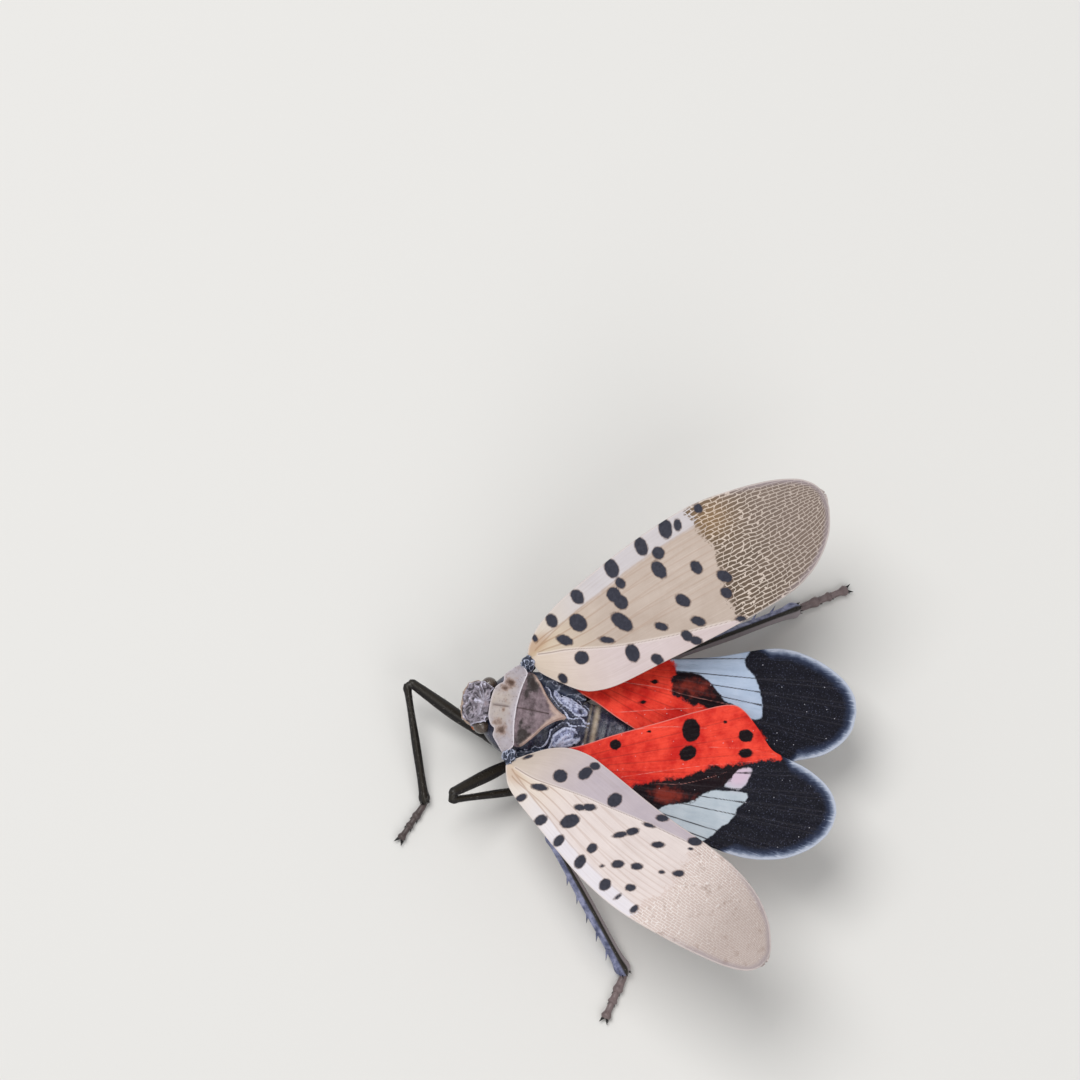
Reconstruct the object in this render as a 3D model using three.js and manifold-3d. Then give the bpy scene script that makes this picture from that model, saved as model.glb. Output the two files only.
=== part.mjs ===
// A spotted lanternfly at life size, standing with its forewings raised and its hindwings open.
// Millimetres, +Z up. The head points to -Y, and the insect's own left side is +X.
import * as THREE from "three";
import Module from "manifold-3d";
import { mergeVertices } from "three/addons/utils/BufferGeometryUtils.js";

const wasm = await Module();
wasm.setup();

// Driving dimensions. Y is 0 at the rear edge of the pronotum while the insect is put together.
const GAP = 0.3;
const MEMBRANE = 0.5;
const VEIN_RIDGE = 0.1;
const VEIN_SPREAD = 0.022;

const PRONOTUM_WIDTH = 5.8;
const PRONOTUM_FRONT = -1.48;
const PRONOTUM_REAR = -0.12;
const THORAX_TOP = 6.55;
const THORAX_FRONT = 0.18;
const THORAX_REAR = 4.6;
const ABDOMEN_FRONT = THORAX_REAR + GAP;
const ABDOMEN_LENGTH = 9.4;
const ABDOMEN_SEGMENTS = 8;
const SEGMENT_LIP = 0.05;

const HEAD_WIDTH = 3.0;
const HEAD_FRONT = 3.25;
const HEAD_BACK = -PRONOTUM_FRONT + GAP;
const EYE_SIZE = [0.5, 0.55, 0.66];
const EYE_CENTRE = [1.42, -2.3, 4.95];
const ANTENNA_ROOT = [1.44, -2.5, 3.75];
const ANTENNA_DIRECTION = [-0.15, -0.35, -1];

const LOBE_SIZE = [0.46, 0.42, 0.3];
const LOBE_CENTRE = [0.56, 4.02, 5.2];
const HINGE_KNOB_SIZE = [0.5, 0.38, 0.36];
const HINGE_KNOB_CENTRE = [3.05, 0.12, 5.6];

const FOREWING_HINGE = [3.45, 0.1, 5.65];
const FOREWING_RISE = 18;
const FOREWING_ROLL = 7;
const FOREWING_SWEEP = { left: 30, right: 38 };
const FOREWING_CAMBER = 0.5;

const HINDWING_HINGE_X = { left: 2.6, right: 2.95 };
const HINDWING_HINGE_Y = 2.4;
const HINDWING_HINGE_Z = { left: 4.93, right: 4.5 };
const HINDWING_RISE = { left: 8, right: 3.5 };
const HINDWING_SWEEP = { left: 0, right: 3 };
const HINDWING_CAMBER = 0.12;

const JOINT_GAP = 0.38;
const FEMUR_RADIUS = 0.4;
const TIBIA_RADIUS = 0.27;
const TARSUS_RADIUS = 0.27;
const HIND_FEMUR_GIRTH = 1.1;
const HIND_TIBIA_GIRTH = 1.35;
const HIND_TARSUS_GIRTH = 1.15;
const TARSUS_HEIGHT = 0.2;
const CLAW_RADIUS = 0.1;
const CLAW_LENGTH = 0.5;
const ANKLE_HEIGHT = 0.5;
const KNEE_REACH = 0.3;
const KNEE_OFFSET = 0.7;
const SIDE_SPINES = 5;
const CROWN_SPINES = 5;
const SPINE_LENGTH = 0.8;
const SPINE_RADIUS = 0.14;

const COLOURS = {
  head: 0x8d8483,
  eye: 0x2b2623,
  antenna: 0xd8742a,
  prothorax: 0xbfa893,
  mesonotum: 0x6d5a58,
  thorax: 0x3c4250,
  knob: 0x59606c,
  abdomen: 0xd9b64a,
  forewing: 0xc9b49b,
  hindwing: 0xc8331f,
  leg: 0x2a2624,
};

const insect = new THREE.Group();
const degrees = THREE.MathUtils.degToRad;

// Every mesh is added with its own material, the name of its piece and its place.
function add(name, geometry, colour, roughness, position = [0, 0, 0], rotation = new THREE.Euler()) {
  const material = new THREE.MeshStandardMaterial({ color: colour, roughness, metalness: 0 });
  const mesh = new THREE.Mesh(geometry, material);
  mesh.name = name;
  mesh.position.set(...position);
  mesh.rotation.copy(rotation);
  insect.add(mesh);
  return mesh;
}

// Solids are joined and cut as closed meshes with shared corners.
function solid(geometry) {
  const bare = geometry.clone();
  bare.deleteAttribute("normal");
  bare.deleteAttribute("uv");
  const merged = mergeVertices(bare, 1e-4);
  return new wasm.Manifold(new wasm.Mesh({
    numProp: 3,
    vertProperties: new Float32Array(merged.attributes.position.array),
    triVerts: new Uint32Array(merged.index.array),
  }));
}

// Only the largest closed surface of a joined or cut solid is kept.
function surface(body) {
  const pieces = body.decompose();
  pieces.sort((a, b) => b.volume() - a.volume());
  const mesh = pieces[0].getMesh();
  const geometry = new THREE.BufferGeometry();
  geometry.setAttribute("position", new THREE.BufferAttribute(new Float32Array(mesh.vertProperties), 3));
  geometry.setIndex(new THREE.BufferAttribute(new Uint32Array(mesh.triVerts), 1));
  geometry.computeVertexNormals();
  return geometry;
}

function join(geometries) {
  return surface(geometries.map(solid).reduce((whole, piece) => whole.add(piece)));
}

// The right-hand copy of a left-hand shape: X is turned over, and so is each triangle.
function mirrored(geometry) {
  const copy = geometry.clone().scale(-1, 1, 1);
  const index = copy.index.array;
  for (let i = 0; i < index.length; i += 3) {
    [index[i], index[i + 1]] = [index[i + 1], index[i]];
  }
  copy.computeVertexNormals();
  return copy;
}

function sided(geometry, side) {
  return side === "left" ? geometry : mirrored(geometry);
}

function placed(point, side) {
  return side === "left" ? point : [-point[0], point[1], point[2]];
}

// A closed barrel along Y from a few rings: [y, half width, top, widest height, bottom, squareness].
function barrel(rings, sides, steps) {
  const keys = rings.map((ring) => ring[0]);
  const between = new THREE.CubicInterpolant(keys, rings.flatMap((ring) => ring.slice(1)), 5);
  const shape = new THREE.CylinderGeometry(1, 1, 1, sides, steps);
  const points = shape.attributes.position;
  for (let i = 0; i < points.count; i++) {
    const y = THREE.MathUtils.lerp(keys[0], keys[keys.length - 1], points.getY(i) + 0.5);
    const [width, top, widest, bottom, squareness] = between.evaluate(y);
    const across = points.getX(i);
    const up = points.getZ(i);
    const power = up > 0 ? 2 / squareness : 1;
    const x = Math.sign(across) * Math.abs(across) ** power * width;
    const height = up > 0 ? up ** power * (top - widest) : up * (widest - bottom);
    points.setXYZ(i, x, y, widest + height);
  }
  return shape;
}

// A turned piece along +Y from its half profile: [radius, distance along].
function turned(profile, sides) {
  return new THREE.LatheGeometry(profile.map(([radius, along]) => new THREE.Vector2(radius, along)), sides);
}

function ellipsoid(size, grown, sides) {
  const ball = new THREE.SphereGeometry(1, sides, Math.round(sides * 0.7));
  return ball.scale(...size.map((half) => half + grown));
}

// Head: a tall capsule with the crown on top, the face in front and the mouth below.
function headShape() {
  const half = HEAD_WIDTH / 2;
  const rings = [
    [2.15, 0.42, 2.5, 2.25, 1.98, 2],
    [3.0, 0.8, 2.85, 2.25, 1.86, 2.2],
    [4.0, 1.2, 3.12, 2.25, HEAD_BACK, 2.3],
    [4.9, half, HEAD_FRONT, 2.2, HEAD_BACK, 2.3],
    [5.55, half, HEAD_FRONT - 0.1, 2.15, HEAD_BACK, 2.3],
    [5.95, half * 0.86, HEAD_FRONT - 0.5, 2.1, HEAD_BACK + 0.05, 2.2],
  ];
  const capsule = barrel(rings, 20, 10).rotateX(Math.PI / 2);
  const sockets = ["left", "right"].map((side) => (
    solid(ellipsoid(EYE_SIZE, GAP, 14).translate(...placed(EYE_CENTRE, side)))
  ));
  return surface(solid(capsule).subtract(sockets[0]).subtract(sockets[1]));
}

add("head", headShape(), COLOURS.head, 0.8);

for (const side of ["left", "right"]) {
  add(`eye_${side}`, ellipsoid(EYE_SIZE, 0, 14), COLOURS.eye, 0.25, placed(EYE_CENTRE, side));
}

// Antennae: a short collar, a swollen bulb and a fine bristle, below each eye.
const antennaShape = turned([
  [0, 0], [0.25, 0], [0.26, 0.18], [0.34, 0.36], [0.35, 0.52], [0.25, 0.7],
  [0.12, 0.78], [0.07, 0.9], [0.04, 1.6], [0, 1.62],
], 10);
for (const side of ["left", "right"]) {
  const line = new THREE.Vector3(...placed(ANTENNA_DIRECTION, side)).normalize();
  const rotation = new THREE.Euler().setFromQuaternion(
    new THREE.Quaternion().setFromUnitVectors(new THREE.Vector3(0, 1, 0), line),
  );
  add(`antenna_${side}`, antennaShape, COLOURS.antenna, 0.5, placed(ANTENNA_ROOT, side), rotation);
}

// The beak runs back from the mouth between the hips.
const beakShape = turned([[0, 0], [0.22, 0], [0.25, 0.3], [0.24, 3.2], [0.15, 4.4], [0, 4.45]], 8);
add("rostrum", beakShape, COLOURS.leg, 0.6, [0, -2.1, 1.55], new THREE.Euler(degrees(-8.5), 0, 0));

// The prothorax, with the broad pronotum on top.
function prothoraxShape() {
  const half = PRONOTUM_WIDTH / 2;
  const rings = [
    [PRONOTUM_FRONT, half * 0.66, THORAX_TOP - 0.55, 4.7, 2.25, 2.1],
    [-1.1, half * 0.84, THORAX_TOP - 0.3, 4.8, 2.15, 2.1],
    [-0.6, half * 0.96, THORAX_TOP - 0.12, 4.9, 2.05, 2.1],
    [PRONOTUM_REAR, half, THORAX_TOP - 0.02, 5.0, 2.0, 2.1],
  ];
  let body = solid(barrel(rings, 24, 5));
  for (const side of ["left", "right"]) {
    const room = ellipsoid(HINGE_KNOB_SIZE, GAP, 12).translate(...placed(HINGE_KNOB_CENTRE, side));
    body = body.subtract(solid(room));
  }
  return surface(body);
}

add("prothorax", prothoraxShape(), COLOURS.prothorax, 0.75);

// The rear thorax: shoulders for the wings, flanks, breast, and the two waxy lobes of the metanotum.
const thoraxRings = [
  [THORAX_FRONT, 2.5, 5.72, 4.0, 1.95, 3.6],
  [0.7, 2.48, 5.72, 4.0, 1.9, 3.0],
  [1.5, 2.35, 5.6, 3.9, 1.85, 2.0],
  [2.4, 2.2, 5.35, 3.8, 1.8, 1.7],
  [3.4, 2.1, 5.35, 3.6, 1.75, 1.6],
  [4.1, 2.0, 5.2, 3.3, 1.7, 1.6],
  [THORAX_REAR, 1.9, 4.6, 3.1, 1.7, 1.8],
];
const waxyLobes = ["left", "right"].map((side) => (
  ellipsoid(LOBE_SIZE, 0, 10).translate(...placed(LOBE_CENTRE, side))
));
add("thorax", join([barrel(thoraxRings, 24, 9), ...waxyLobes]), COLOURS.thorax, 0.6);

// The mesonotum: a domed shield that ends in the point of the scutellum.
function mesonotumShape() {
  const outline = new THREE.Shape();
  outline.moveTo(0, 3.2);
  outline.quadraticCurveTo(-0.85, 2.2, -2.1, 1.0);
  outline.quadraticCurveTo(-2.45, 0.55, -2.05, 0.2);
  outline.quadraticCurveTo(0, 0.3, 2.05, 0.2);
  outline.quadraticCurveTo(2.45, 0.55, 2.1, 1.0);
  outline.quadraticCurveTo(0.85, 2.2, 0, 3.2);
  const thickness = { depth: 0.5, bevelEnabled: false, curveSegments: 6, steps: 1 };
  const plate = new THREE.ExtrudeGeometry(outline, thickness);
  const points = plate.attributes.position;
  for (let i = 0; i < points.count; i++) {
    const x = points.getX(i);
    const y = points.getY(i);
    points.setZ(i, points.getZ(i) + 6.06 - 0.05 * x * x - 0.03 * (y - 1) ** 2);
  }
  return plate;
}

add("mesonotum", mesonotumShape(), COLOURS.mesonotum, 0.7);

// A knobbed plate on each shoulder, from which the forewing springs.
for (const side of ["left", "right"]) {
  const knob = ellipsoid(HINGE_KNOB_SIZE, 0, 12);
  add(`tegula_${side}`, knob, COLOURS.knob, 0.6, placed(HINGE_KNOB_CENTRE, side));
}

// The abdomen: overlapping rings, each with a raised rear lip, that taper to the tail.
function abdomenShape() {
  const outline = new THREE.CubicInterpolant(
    [0, 0.12, 0.4, 0.7, 0.9, 1],
    [1.75, 4.0, 1.35, 2.1, 4.12, 1.05, 2.4, 4.15, 0.95, 2.1, 4.05, 1.15, 1.35, 3.7, 1.6, 0.7, 3.3, 2.1],
    3,
  );
  const rings = [];
  for (let i = 0; i < ABDOMEN_SEGMENTS; i++) {
    for (const [part, lip] of [[0.03, 0], [0.9, SEGMENT_LIP], [0.97, SEGMENT_LIP]]) {
      const along = (i + part) / ABDOMEN_SEGMENTS;
      const [width, top, bottom] = outline.evaluate(along);
      rings.push([along, width + lip, top + lip, (top + bottom) / 2, bottom]);
    }
  }
  const shape = new THREE.CylinderGeometry(1, 1, 1, 20, rings.length - 1);
  const points = shape.attributes.position;
  for (let i = 0; i < points.count; i++) {
    const ring = rings[Math.round((points.getY(i) + 0.5) * (rings.length - 1))];
    const up = points.getZ(i);
    const height = up > 0 ? up * (ring[2] - ring[3]) : up * (ring[3] - ring[4]);
    points.setXYZ(i, points.getX(i) * ring[1], ABDOMEN_FRONT + ring[0] * ABDOMEN_LENGTH, ring[3] + height);
  }
  return shape;
}

add("abdomen", abdomenShape(), COLOURS.abdomen, 0.6);

// Wings, drawn for the left side: X is out towards the leading edge, Y runs from hinge to tip.
const FOREWING = {
  front: [
    [0.3, 0.6], [1.3, 1.5], [2.1, 4], [2.85, 8], [3.1, 11.5], [2.6, 15.7], [2.0, 18.6], [1.35, 20.4], [0, 21.3],
  ],
  rear: [
    [-1.4, 0.6], [-3.2, 1.9], [-3.95, 4], [-4.1, 9], [-4.05, 14.8], [-3.7, 17.7], [-2.5, 19.9], [-0.6, 21.2],
  ],
  veins: [0.14, 0.3, 0.46, 0.62, 0.78, 0.9],
  camber: FOREWING_CAMBER,
  rows: 13,
};
const HINDWING = {
  front: [[0.5, 0.3], [1.5, 2], [2.8, 6], [3.5, 10], [3.9, 13.6], [3.4, 16], [2.2, 17.6], [0.5, 18.35]],
  rear: [
    [-0.6, 0.3], [-2.2, 3.8], [-4, 7.6], [-5.4, 10.3], [-5, 11.9], [-3.4, 13.5], [-2.75, 15.2], [-1.7, 17.2],
    [-0.2, 18.3],
  ],
  veins: [0.12, 0.26, 0.4, 0.54, 0.68, 0.8, 0.91],
  camber: HINDWING_CAMBER,
  rows: 12,
};

function edgeCurve(points) {
  return new THREE.SplineCurve(points.map(([x, y]) => new THREE.Vector2(x, y)));
}

// The upper and lower faces share one grid, whose columns follow the veins, and a rim closes them.
function wingShape(plan) {
  const front = edgeCurve(plan.front);
  const rear = edgeCurve(plan.rear);
  const beside = plan.veins.flatMap((vein) => [vein - VEIN_SPREAD, vein, vein + VEIN_SPREAD]);
  const columns = [0, ...beside, 1];
  const wide = columns.length;
  const grid = new THREE.PlaneGeometry(1, 1, wide - 1, plan.rows);
  const count = grid.attributes.position.count;
  const places = new Float32Array(count * 6);
  for (let i = 0; i < count; i++) {
    const across = columns[i % wide];
    const along = 1 - Math.floor(i / wide) / plan.rows;
    const leading = front.getPointAt(along);
    const trailing = rear.getPointAt(along);
    const x = THREE.MathUtils.lerp(trailing.x, leading.x, across);
    const y = THREE.MathUtils.lerp(trailing.y, leading.y, across);
    const arch = plan.camber * 4 * across * (1 - across) * (0.3 + 0.7 * Math.sin(Math.PI * along));
    const ridge = plan.veins.includes(across) ? VEIN_RIDGE * (1 - along ** 3) : 0;
    places.set([x, y, arch + MEMBRANE / 2 + ridge], i * 3);
    places.set([x, y, arch - MEMBRANE / 2 - ridge], (count + i) * 3);
  }
  const faces = [];
  const upper = grid.index.array;
  for (let i = 0; i < upper.length; i += 3) {
    faces.push(upper[i], upper[i + 1], upper[i + 2]);
    faces.push(count + upper[i], count + upper[i + 2], count + upper[i + 1]);
  }
  const edge = rimOf(wide, plan.rows + 1);
  edge.forEach((a, i) => {
    const b = edge[(i + 1) % edge.length];
    faces.push(count + a, count + b, b, count + a, b, a);
  });
  const shell = new THREE.BufferGeometry();
  shell.setAttribute("position", new THREE.BufferAttribute(places, 3));
  shell.setIndex(faces);
  shell.computeVertexNormals();
  return shell;
}

// The border of a grid of points, counter-clockwise from the root's rear corner.
function rimOf(wide, high) {
  const root = Array.from({ length: wide - 1 }, (_, i) => (high - 1) * wide + i);
  const leading = Array.from({ length: high - 1 }, (_, i) => (high - i) * wide - 1);
  const tip = Array.from({ length: wide - 1 }, (_, i) => wide - 1 - i);
  const trailing = Array.from({ length: high - 1 }, (_, i) => i * wide);
  return [...root, ...leading, ...tip, ...trailing];
}

const forewingShape = wingShape(FOREWING);
const hindwingShape = wingShape(HINDWING);
for (const side of ["left", "right"]) {
  const turn = side === "left" ? -1 : 1;
  const raised = new THREE.Euler(
    degrees(FOREWING_RISE), degrees(turn * FOREWING_ROLL), degrees(turn * FOREWING_SWEEP[side]), "ZXY",
  );
  const level = new THREE.Euler(
    degrees(HINDWING_RISE[side]), 0, degrees(turn * HINDWING_SWEEP[side]), "ZXY",
  );
  const hinge = placed([HINDWING_HINGE_X[side], HINDWING_HINGE_Y, HINDWING_HINGE_Z[side]], side);
  const shoulder = placed(FOREWING_HINGE, side);
  add(`forewing_${side}`, sided(forewingShape, side), COLOURS.forewing, 0.7, shoulder, raised);
  add(`hindwing_${side}`, sided(hindwingShape, side), COLOURS.hindwing, 0.6, hinge, level);
}

// Legs, from the joints of each: where the hip, trochanter, knee and ankle are, and where the foot points.
const LEGS = {
  front_left: {
    hip: [1.25, -0.6, 1.5], trochanter: [1.1, -1.6, 1.3], knee: [-0.95, -6.7, 2.9],
    ankle: [5.9, -4.4, ANKLE_HEIGHT], toe: [8.5, -5.5],
  },
  middle_left: {
    hip: [1.75, 1.2, 1.6], trochanter: [2.4, 0.8, 2.2], knee: [5.7, -2.85, 4.5],
    ankle: [3.5, 2.6, ANKLE_HEIGHT], toe: [4.7, 5.1],
  },
  hind_left: {
    hip: [1.6, 3.3, 1.35], trochanter: [2.3, 3.1, 1.7], knee: [7.1, 3.6, 4.4],
    ankle: [14.0, 9.9, ANKLE_HEIGHT], toe: [17.1, 9.2],
  },
  front_right: {
    hip: [-1.2, -0.85, 1.5], trochanter: [-2.0, -0.65, 1.55], knee: [-5.1, 1.3, 3.4],
    ankle: [-10.2, 5.1, ANKLE_HEIGHT], toe: [-12.4, 6.9],
  },
  middle_right: {
    hip: [-1.75, 1.2, 1.6], trochanter: [-2.4, 1.5, 2.0], knee: [-6.3, 4.6, 4.2],
    ankle: [-10.3, 9.2, ANKLE_HEIGHT], toe: [-12.2, 11.4],
  },
  hind_right: {
    hip: [-1.6, 3.3, 1.35], trochanter: [-2.2, 3.8, 1.7], knee: [-5.3, 8.2, 3.2],
    ankle: [-11.0, 16.3, ANKLE_HEIGHT], toe: [-12.9, 19.2],
  },
};
const LIMB_SIDES = 8;

// A turned limb is stretched between two joints, short of each by half the gap at a bent joint.
// Its own X axis points forward and out from the body.
function limb(name, from, to, radii, dressed = (shape) => shape) {
  const start = new THREE.Vector3(...from);
  const line = new THREE.Vector3(...to).sub(start);
  const length = line.length() - JOINT_GAP;
  const profile = radii.map(([along, radius]) => [radius, along * length]);
  const shape = dressed(turned([[0, 0], ...profile, [0, length]], LIMB_SIDES), length);
  line.normalize();
  start.addScaledVector(line, JOINT_GAP / 2);
  const out = new THREE.Vector3(0, 0, name.endsWith("left") ? -1 : 1).cross(line).normalize();
  const basis = new THREE.Matrix4().makeBasis(out, line, out.clone().cross(line));
  add(name, shape, COLOURS.leg, 0.55, start.toArray(), new THREE.Euler().setFromRotationMatrix(basis));
}

// A five-sided spine with its root at the origin, leaning from +Y towards +X, then turned about Y.
function spine(radius, length, lean, turn) {
  const cone = new THREE.ConeGeometry(radius, length, 5).translate(0, length / 2, 0);
  return cone.rotateZ(degrees(-lean)).rotateY(degrees(turn));
}

// Strong spines stand along the outer edge of the hind shin, and a crown of small ones rings its end.
function withSpines(shape, length) {
  const pieces = [shape];
  for (let i = 0; i < SIDE_SPINES; i++) {
    const along = length * (0.28 + 0.52 * i / (SIDE_SPINES - 1));
    const grown = SPINE_LENGTH * (0.75 + 0.25 * i / (SIDE_SPINES - 1));
    pieces.push(spine(SPINE_RADIUS, grown, 50, 0).translate(TIBIA_RADIUS * 0.3, along, 0));
  }
  for (let i = 0; i < CROWN_SPINES; i++) {
    const turn = 360 * i / CROWN_SPINES;
    const small = spine(SPINE_RADIUS * 0.7, SPINE_LENGTH * 0.7, 38, turn);
    pieces.push(small.translate(0, length - TIBIA_RADIUS, 0));
  }
  return join(pieces);
}

// A foot lies level: three swollen joints on a flat sole, with two small claws.
function footShape(length, girth) {
  const bulb = TARSUS_RADIUS * girth;
  const neck = 0.22 * girth;
  const profile = [
    [0, 0], [0.2, 0], [bulb, 0.2], [bulb, 0.34], [neck, 0.4], [bulb, 0.52],
    [bulb, 0.6], [neck, 0.66], [neck * 1.1, 0.8], [bulb, 0.93], [0.18, 1], [0, 1],
  ];
  const joints = turned(profile.map(([radius, along]) => [radius, along * length]), LIMB_SIDES);
  joints.translate(0, 0, TARSUS_HEIGHT);
  const claws = [-1, 1].map((way) => (
    spine(CLAW_RADIUS, CLAW_LENGTH, 22 * way, 0)
      .translate(0.09 * way, length - TARSUS_RADIUS * 0.5, TARSUS_HEIGHT)
  ));
  const floor = new THREE.BoxGeometry(4, 12, 4).translate(0, 4, -2);
  return surface(solid(join([joints, ...claws])).subtract(solid(floor)));
}

// A sharply folded shin starts beyond the end of the femur and beside its line, so that the two stay clear.
function shinStart(leg) {
  const knee = new THREE.Vector3(...leg.knee);
  const thigh = knee.clone().sub(new THREE.Vector3(...leg.trochanter)).normalize();
  const shin = new THREE.Vector3(...leg.ankle).sub(knee).normalize();
  const fold = Math.max(0, -thigh.dot(shin));
  const beside = shin.addScaledVector(thigh, fold).normalize();
  return knee.addScaledVector(thigh, KNEE_REACH * fold).addScaledVector(beside, KNEE_OFFSET * fold).toArray();
}

for (const [place, leg] of Object.entries(LEGS)) {
  const isHind = place.startsWith("hind");
  const femurGirth = isHind ? HIND_FEMUR_GIRTH : 1;
  const tibiaGirth = isHind ? HIND_TIBIA_GIRTH : 1;
  limb(`coxa_${place}`, leg.hip, leg.trochanter, [[0, 0.2], [0.3, 0.42], [0.75, 0.36], [1, 0.16]]);
  limb(`femur_${place}`, leg.trochanter, leg.knee, [
    [0, 0.15], [0.05, 0.27], [0.4, FEMUR_RADIUS * femurGirth], [0.8, FEMUR_RADIUS * 0.8], [0.95, 0.27],
    [1, 0.14],
  ]);
  const shinRadius = TIBIA_RADIUS * tibiaGirth;
  limb(`tibia_${place}`, shinStart(leg), leg.ankle, [
    [0, 0.13], [0.04, 0.25], [0.1, 0.24], [0.5, shinRadius], [0.96, shinRadius], [1, 0.16],
  ], isHind ? withSpines : undefined);
  const ankle = new THREE.Vector2(leg.ankle[0], leg.ankle[1]);
  const heading = new THREE.Vector2(...leg.toe).sub(ankle);
  const length = heading.length() - GAP / 2;
  heading.normalize();
  const start = ankle.addScaledVector(heading, GAP / 2);
  const rotation = new THREE.Euler(0, 0, heading.angle() - Math.PI / 2);
  const foot = footShape(length, isHind ? HIND_TARSUS_GIRTH : 1);
  add(`tarsus_${place}`, foot, COLOURS.leg, 0.6, [start.x, start.y, 0], rotation);
}

// The origin is at the bottom centre of the whole insect.
const box = new THREE.Box3().setFromObject(insect, true);
const centre = box.getCenter(new THREE.Vector3());
insect.position.set(-centre.x, -centre.y, 0);

export default insect;
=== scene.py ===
"""A spotted lanternfly at life size, with its forewings raised and its red hindwings open."""
import math
import random

import bmesh
import bpy
import numpy as np
from mathutils import Matrix, Vector, noise


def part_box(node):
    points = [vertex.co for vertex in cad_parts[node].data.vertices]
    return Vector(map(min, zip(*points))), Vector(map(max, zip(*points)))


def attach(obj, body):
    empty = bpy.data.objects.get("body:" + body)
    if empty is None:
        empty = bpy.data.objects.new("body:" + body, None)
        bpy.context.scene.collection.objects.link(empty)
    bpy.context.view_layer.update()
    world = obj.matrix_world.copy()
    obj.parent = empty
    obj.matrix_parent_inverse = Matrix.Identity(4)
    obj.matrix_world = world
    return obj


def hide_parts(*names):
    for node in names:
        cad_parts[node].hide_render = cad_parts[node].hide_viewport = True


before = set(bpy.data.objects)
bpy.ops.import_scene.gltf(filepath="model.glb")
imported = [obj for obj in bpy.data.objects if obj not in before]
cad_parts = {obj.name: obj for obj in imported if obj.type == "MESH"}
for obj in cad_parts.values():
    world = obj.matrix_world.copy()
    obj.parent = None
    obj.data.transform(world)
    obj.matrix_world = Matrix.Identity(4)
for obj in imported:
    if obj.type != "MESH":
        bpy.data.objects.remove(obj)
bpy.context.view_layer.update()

# Body: one soft-jointed skin runs from the neck to the tail, of thin hard cuticle plates.
# The rear thorax carries ridges painted white, partly wax and partly a painted highlight on their crests,
# and eight rings with raised rear lips make the abdomen.
# Shapes are worked out in millimetres from the middle of the pronotum's rear edge, nose towards -Y.
MILLIMETRE = 0.001
SCUTELLUM_TIP = 3.2
shield_low, shield_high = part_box("mesonotum")
INSECT_ZERO = np.array([
    (shield_low.x + shield_high.x) / 2,
    shield_high.y - SCUTELLUM_TIP * MILLIMETRE,
    0,
])

BODY_RINGS = [
    # y, half width, top, widest height, bottom, squareness of the upper half
    [-2.3, 0.9, 5.2, 4.2, 2.7, 2.0],
    [-1.7, 1.5, 5.6, 4.3, 2.3, 2.0],
    [-1.3, 1.95, 5.85, 4.6, 2.1, 2.0],
    [-0.6, 2.5, 6.15, 4.8, 2.0, 2.1],
    [-0.15, 2.62, 6.2, 4.8, 1.95, 2.2],
    [0.3, 2.42, 5.9, 4.2, 1.9, 2.8],
    [0.9, 2.5, 5.8, 4.0, 1.9, 3.0],
    [1.5, 2.38, 5.65, 3.9, 1.85, 2.2],
    [2.4, 2.2, 5.4, 3.8, 1.8, 1.9],
    [3.4, 2.1, 5.35, 3.6, 1.75, 1.8],
    [4.1, 1.95, 5.15, 3.3, 1.7, 1.8],
    [4.6, 1.8, 4.7, 3.0, 1.6, 1.9],
    [5.0, 1.85, 4.3, 2.8, 1.35, 2.0],
    [6.0, 2.1, 4.15, 2.6, 1.05, 2.0],
    [8.7, 2.4, 4.15, 2.55, 0.95, 2.0],
    [11.5, 2.1, 4.05, 2.6, 1.15, 2.0],
    [13.4, 1.35, 3.7, 2.65, 1.6, 2.0],
    [14.2, 0.75, 3.3, 2.7, 2.1, 2.0],
]
BODY_ROWS = 280
BODY_SIDES = 120
ABDOMEN_FRONT = 4.75
ABDOMEN_REAR = 14.2
ABDOMEN_SEGMENTS = 8
SEGMENT_LIP = 0.07

WAX_RIDGES = [
    # the loops and ribs of the metanotum, on the left; the right side mirrors them
    [[2.25, 1.1], [2.1, 1.7], [1.45, 2.15], [0.85, 2.5], [0.4, 2.95], [0.1, 3.3]],
    [[1.8, 2.3], [1.2, 2.56], [0.8, 3.0], [0.5, 3.5], [0.42, 4.0], [0.72, 4.3], [1.1, 4.12], [1.45, 3.42],
     [1.7, 2.7], [1.8, 2.3]],
    [[0.12, 3.3], [0.26, 3.8], [0.16, 4.3], [0.2, 4.7]],
    [[1.95, 2.5], [1.75, 3.4], [1.4, 4.2], [1.1, 4.5]],
    [[1.25, 2.95], [0.95, 3.45], [0.8, 3.75]],
    [[1.5, 2.65], [1.4, 3.1], [1.15, 3.6], [0.95, 4.1]],
]
LOBE_DOT = [0.8, 4.02]
LOBE_OUTLINE = [
    [1.78, 2.32], [1.2, 2.58], [0.8, 3.0], [0.5, 3.5], [0.42, 4.0], [0.72, 4.3], [1.1, 4.12], [1.45, 3.42],
    [1.7, 2.7],
]
FLANK_GROOVES = [
    [[0.3, 5.2], [0.75, 3.6], [0.6, 2.2]],
    [[1.5, 5.2], [1.9, 3.6], [1.7, 2.0]],
    [[2.6, 5.0], [3.0, 3.4], [2.9, 1.9]],
    [[4.0, 4.8], [4.2, 3.2], [4.0, 1.8]],
]
WAX_RIDGE_WIDTH = 0.075
WAX_RIDGE_HEIGHT = 0.17
LOBE_HEIGHT = 0.14
LOBE_DOT_SIZE = 0.16
FLANK_GROOVE_WIDTH = 0.09
FLANK_GROOVE_DEPTH = 0.14
TAIL_KNOB_HEIGHT = 0.2
FIRST_RING = 5.05


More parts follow.
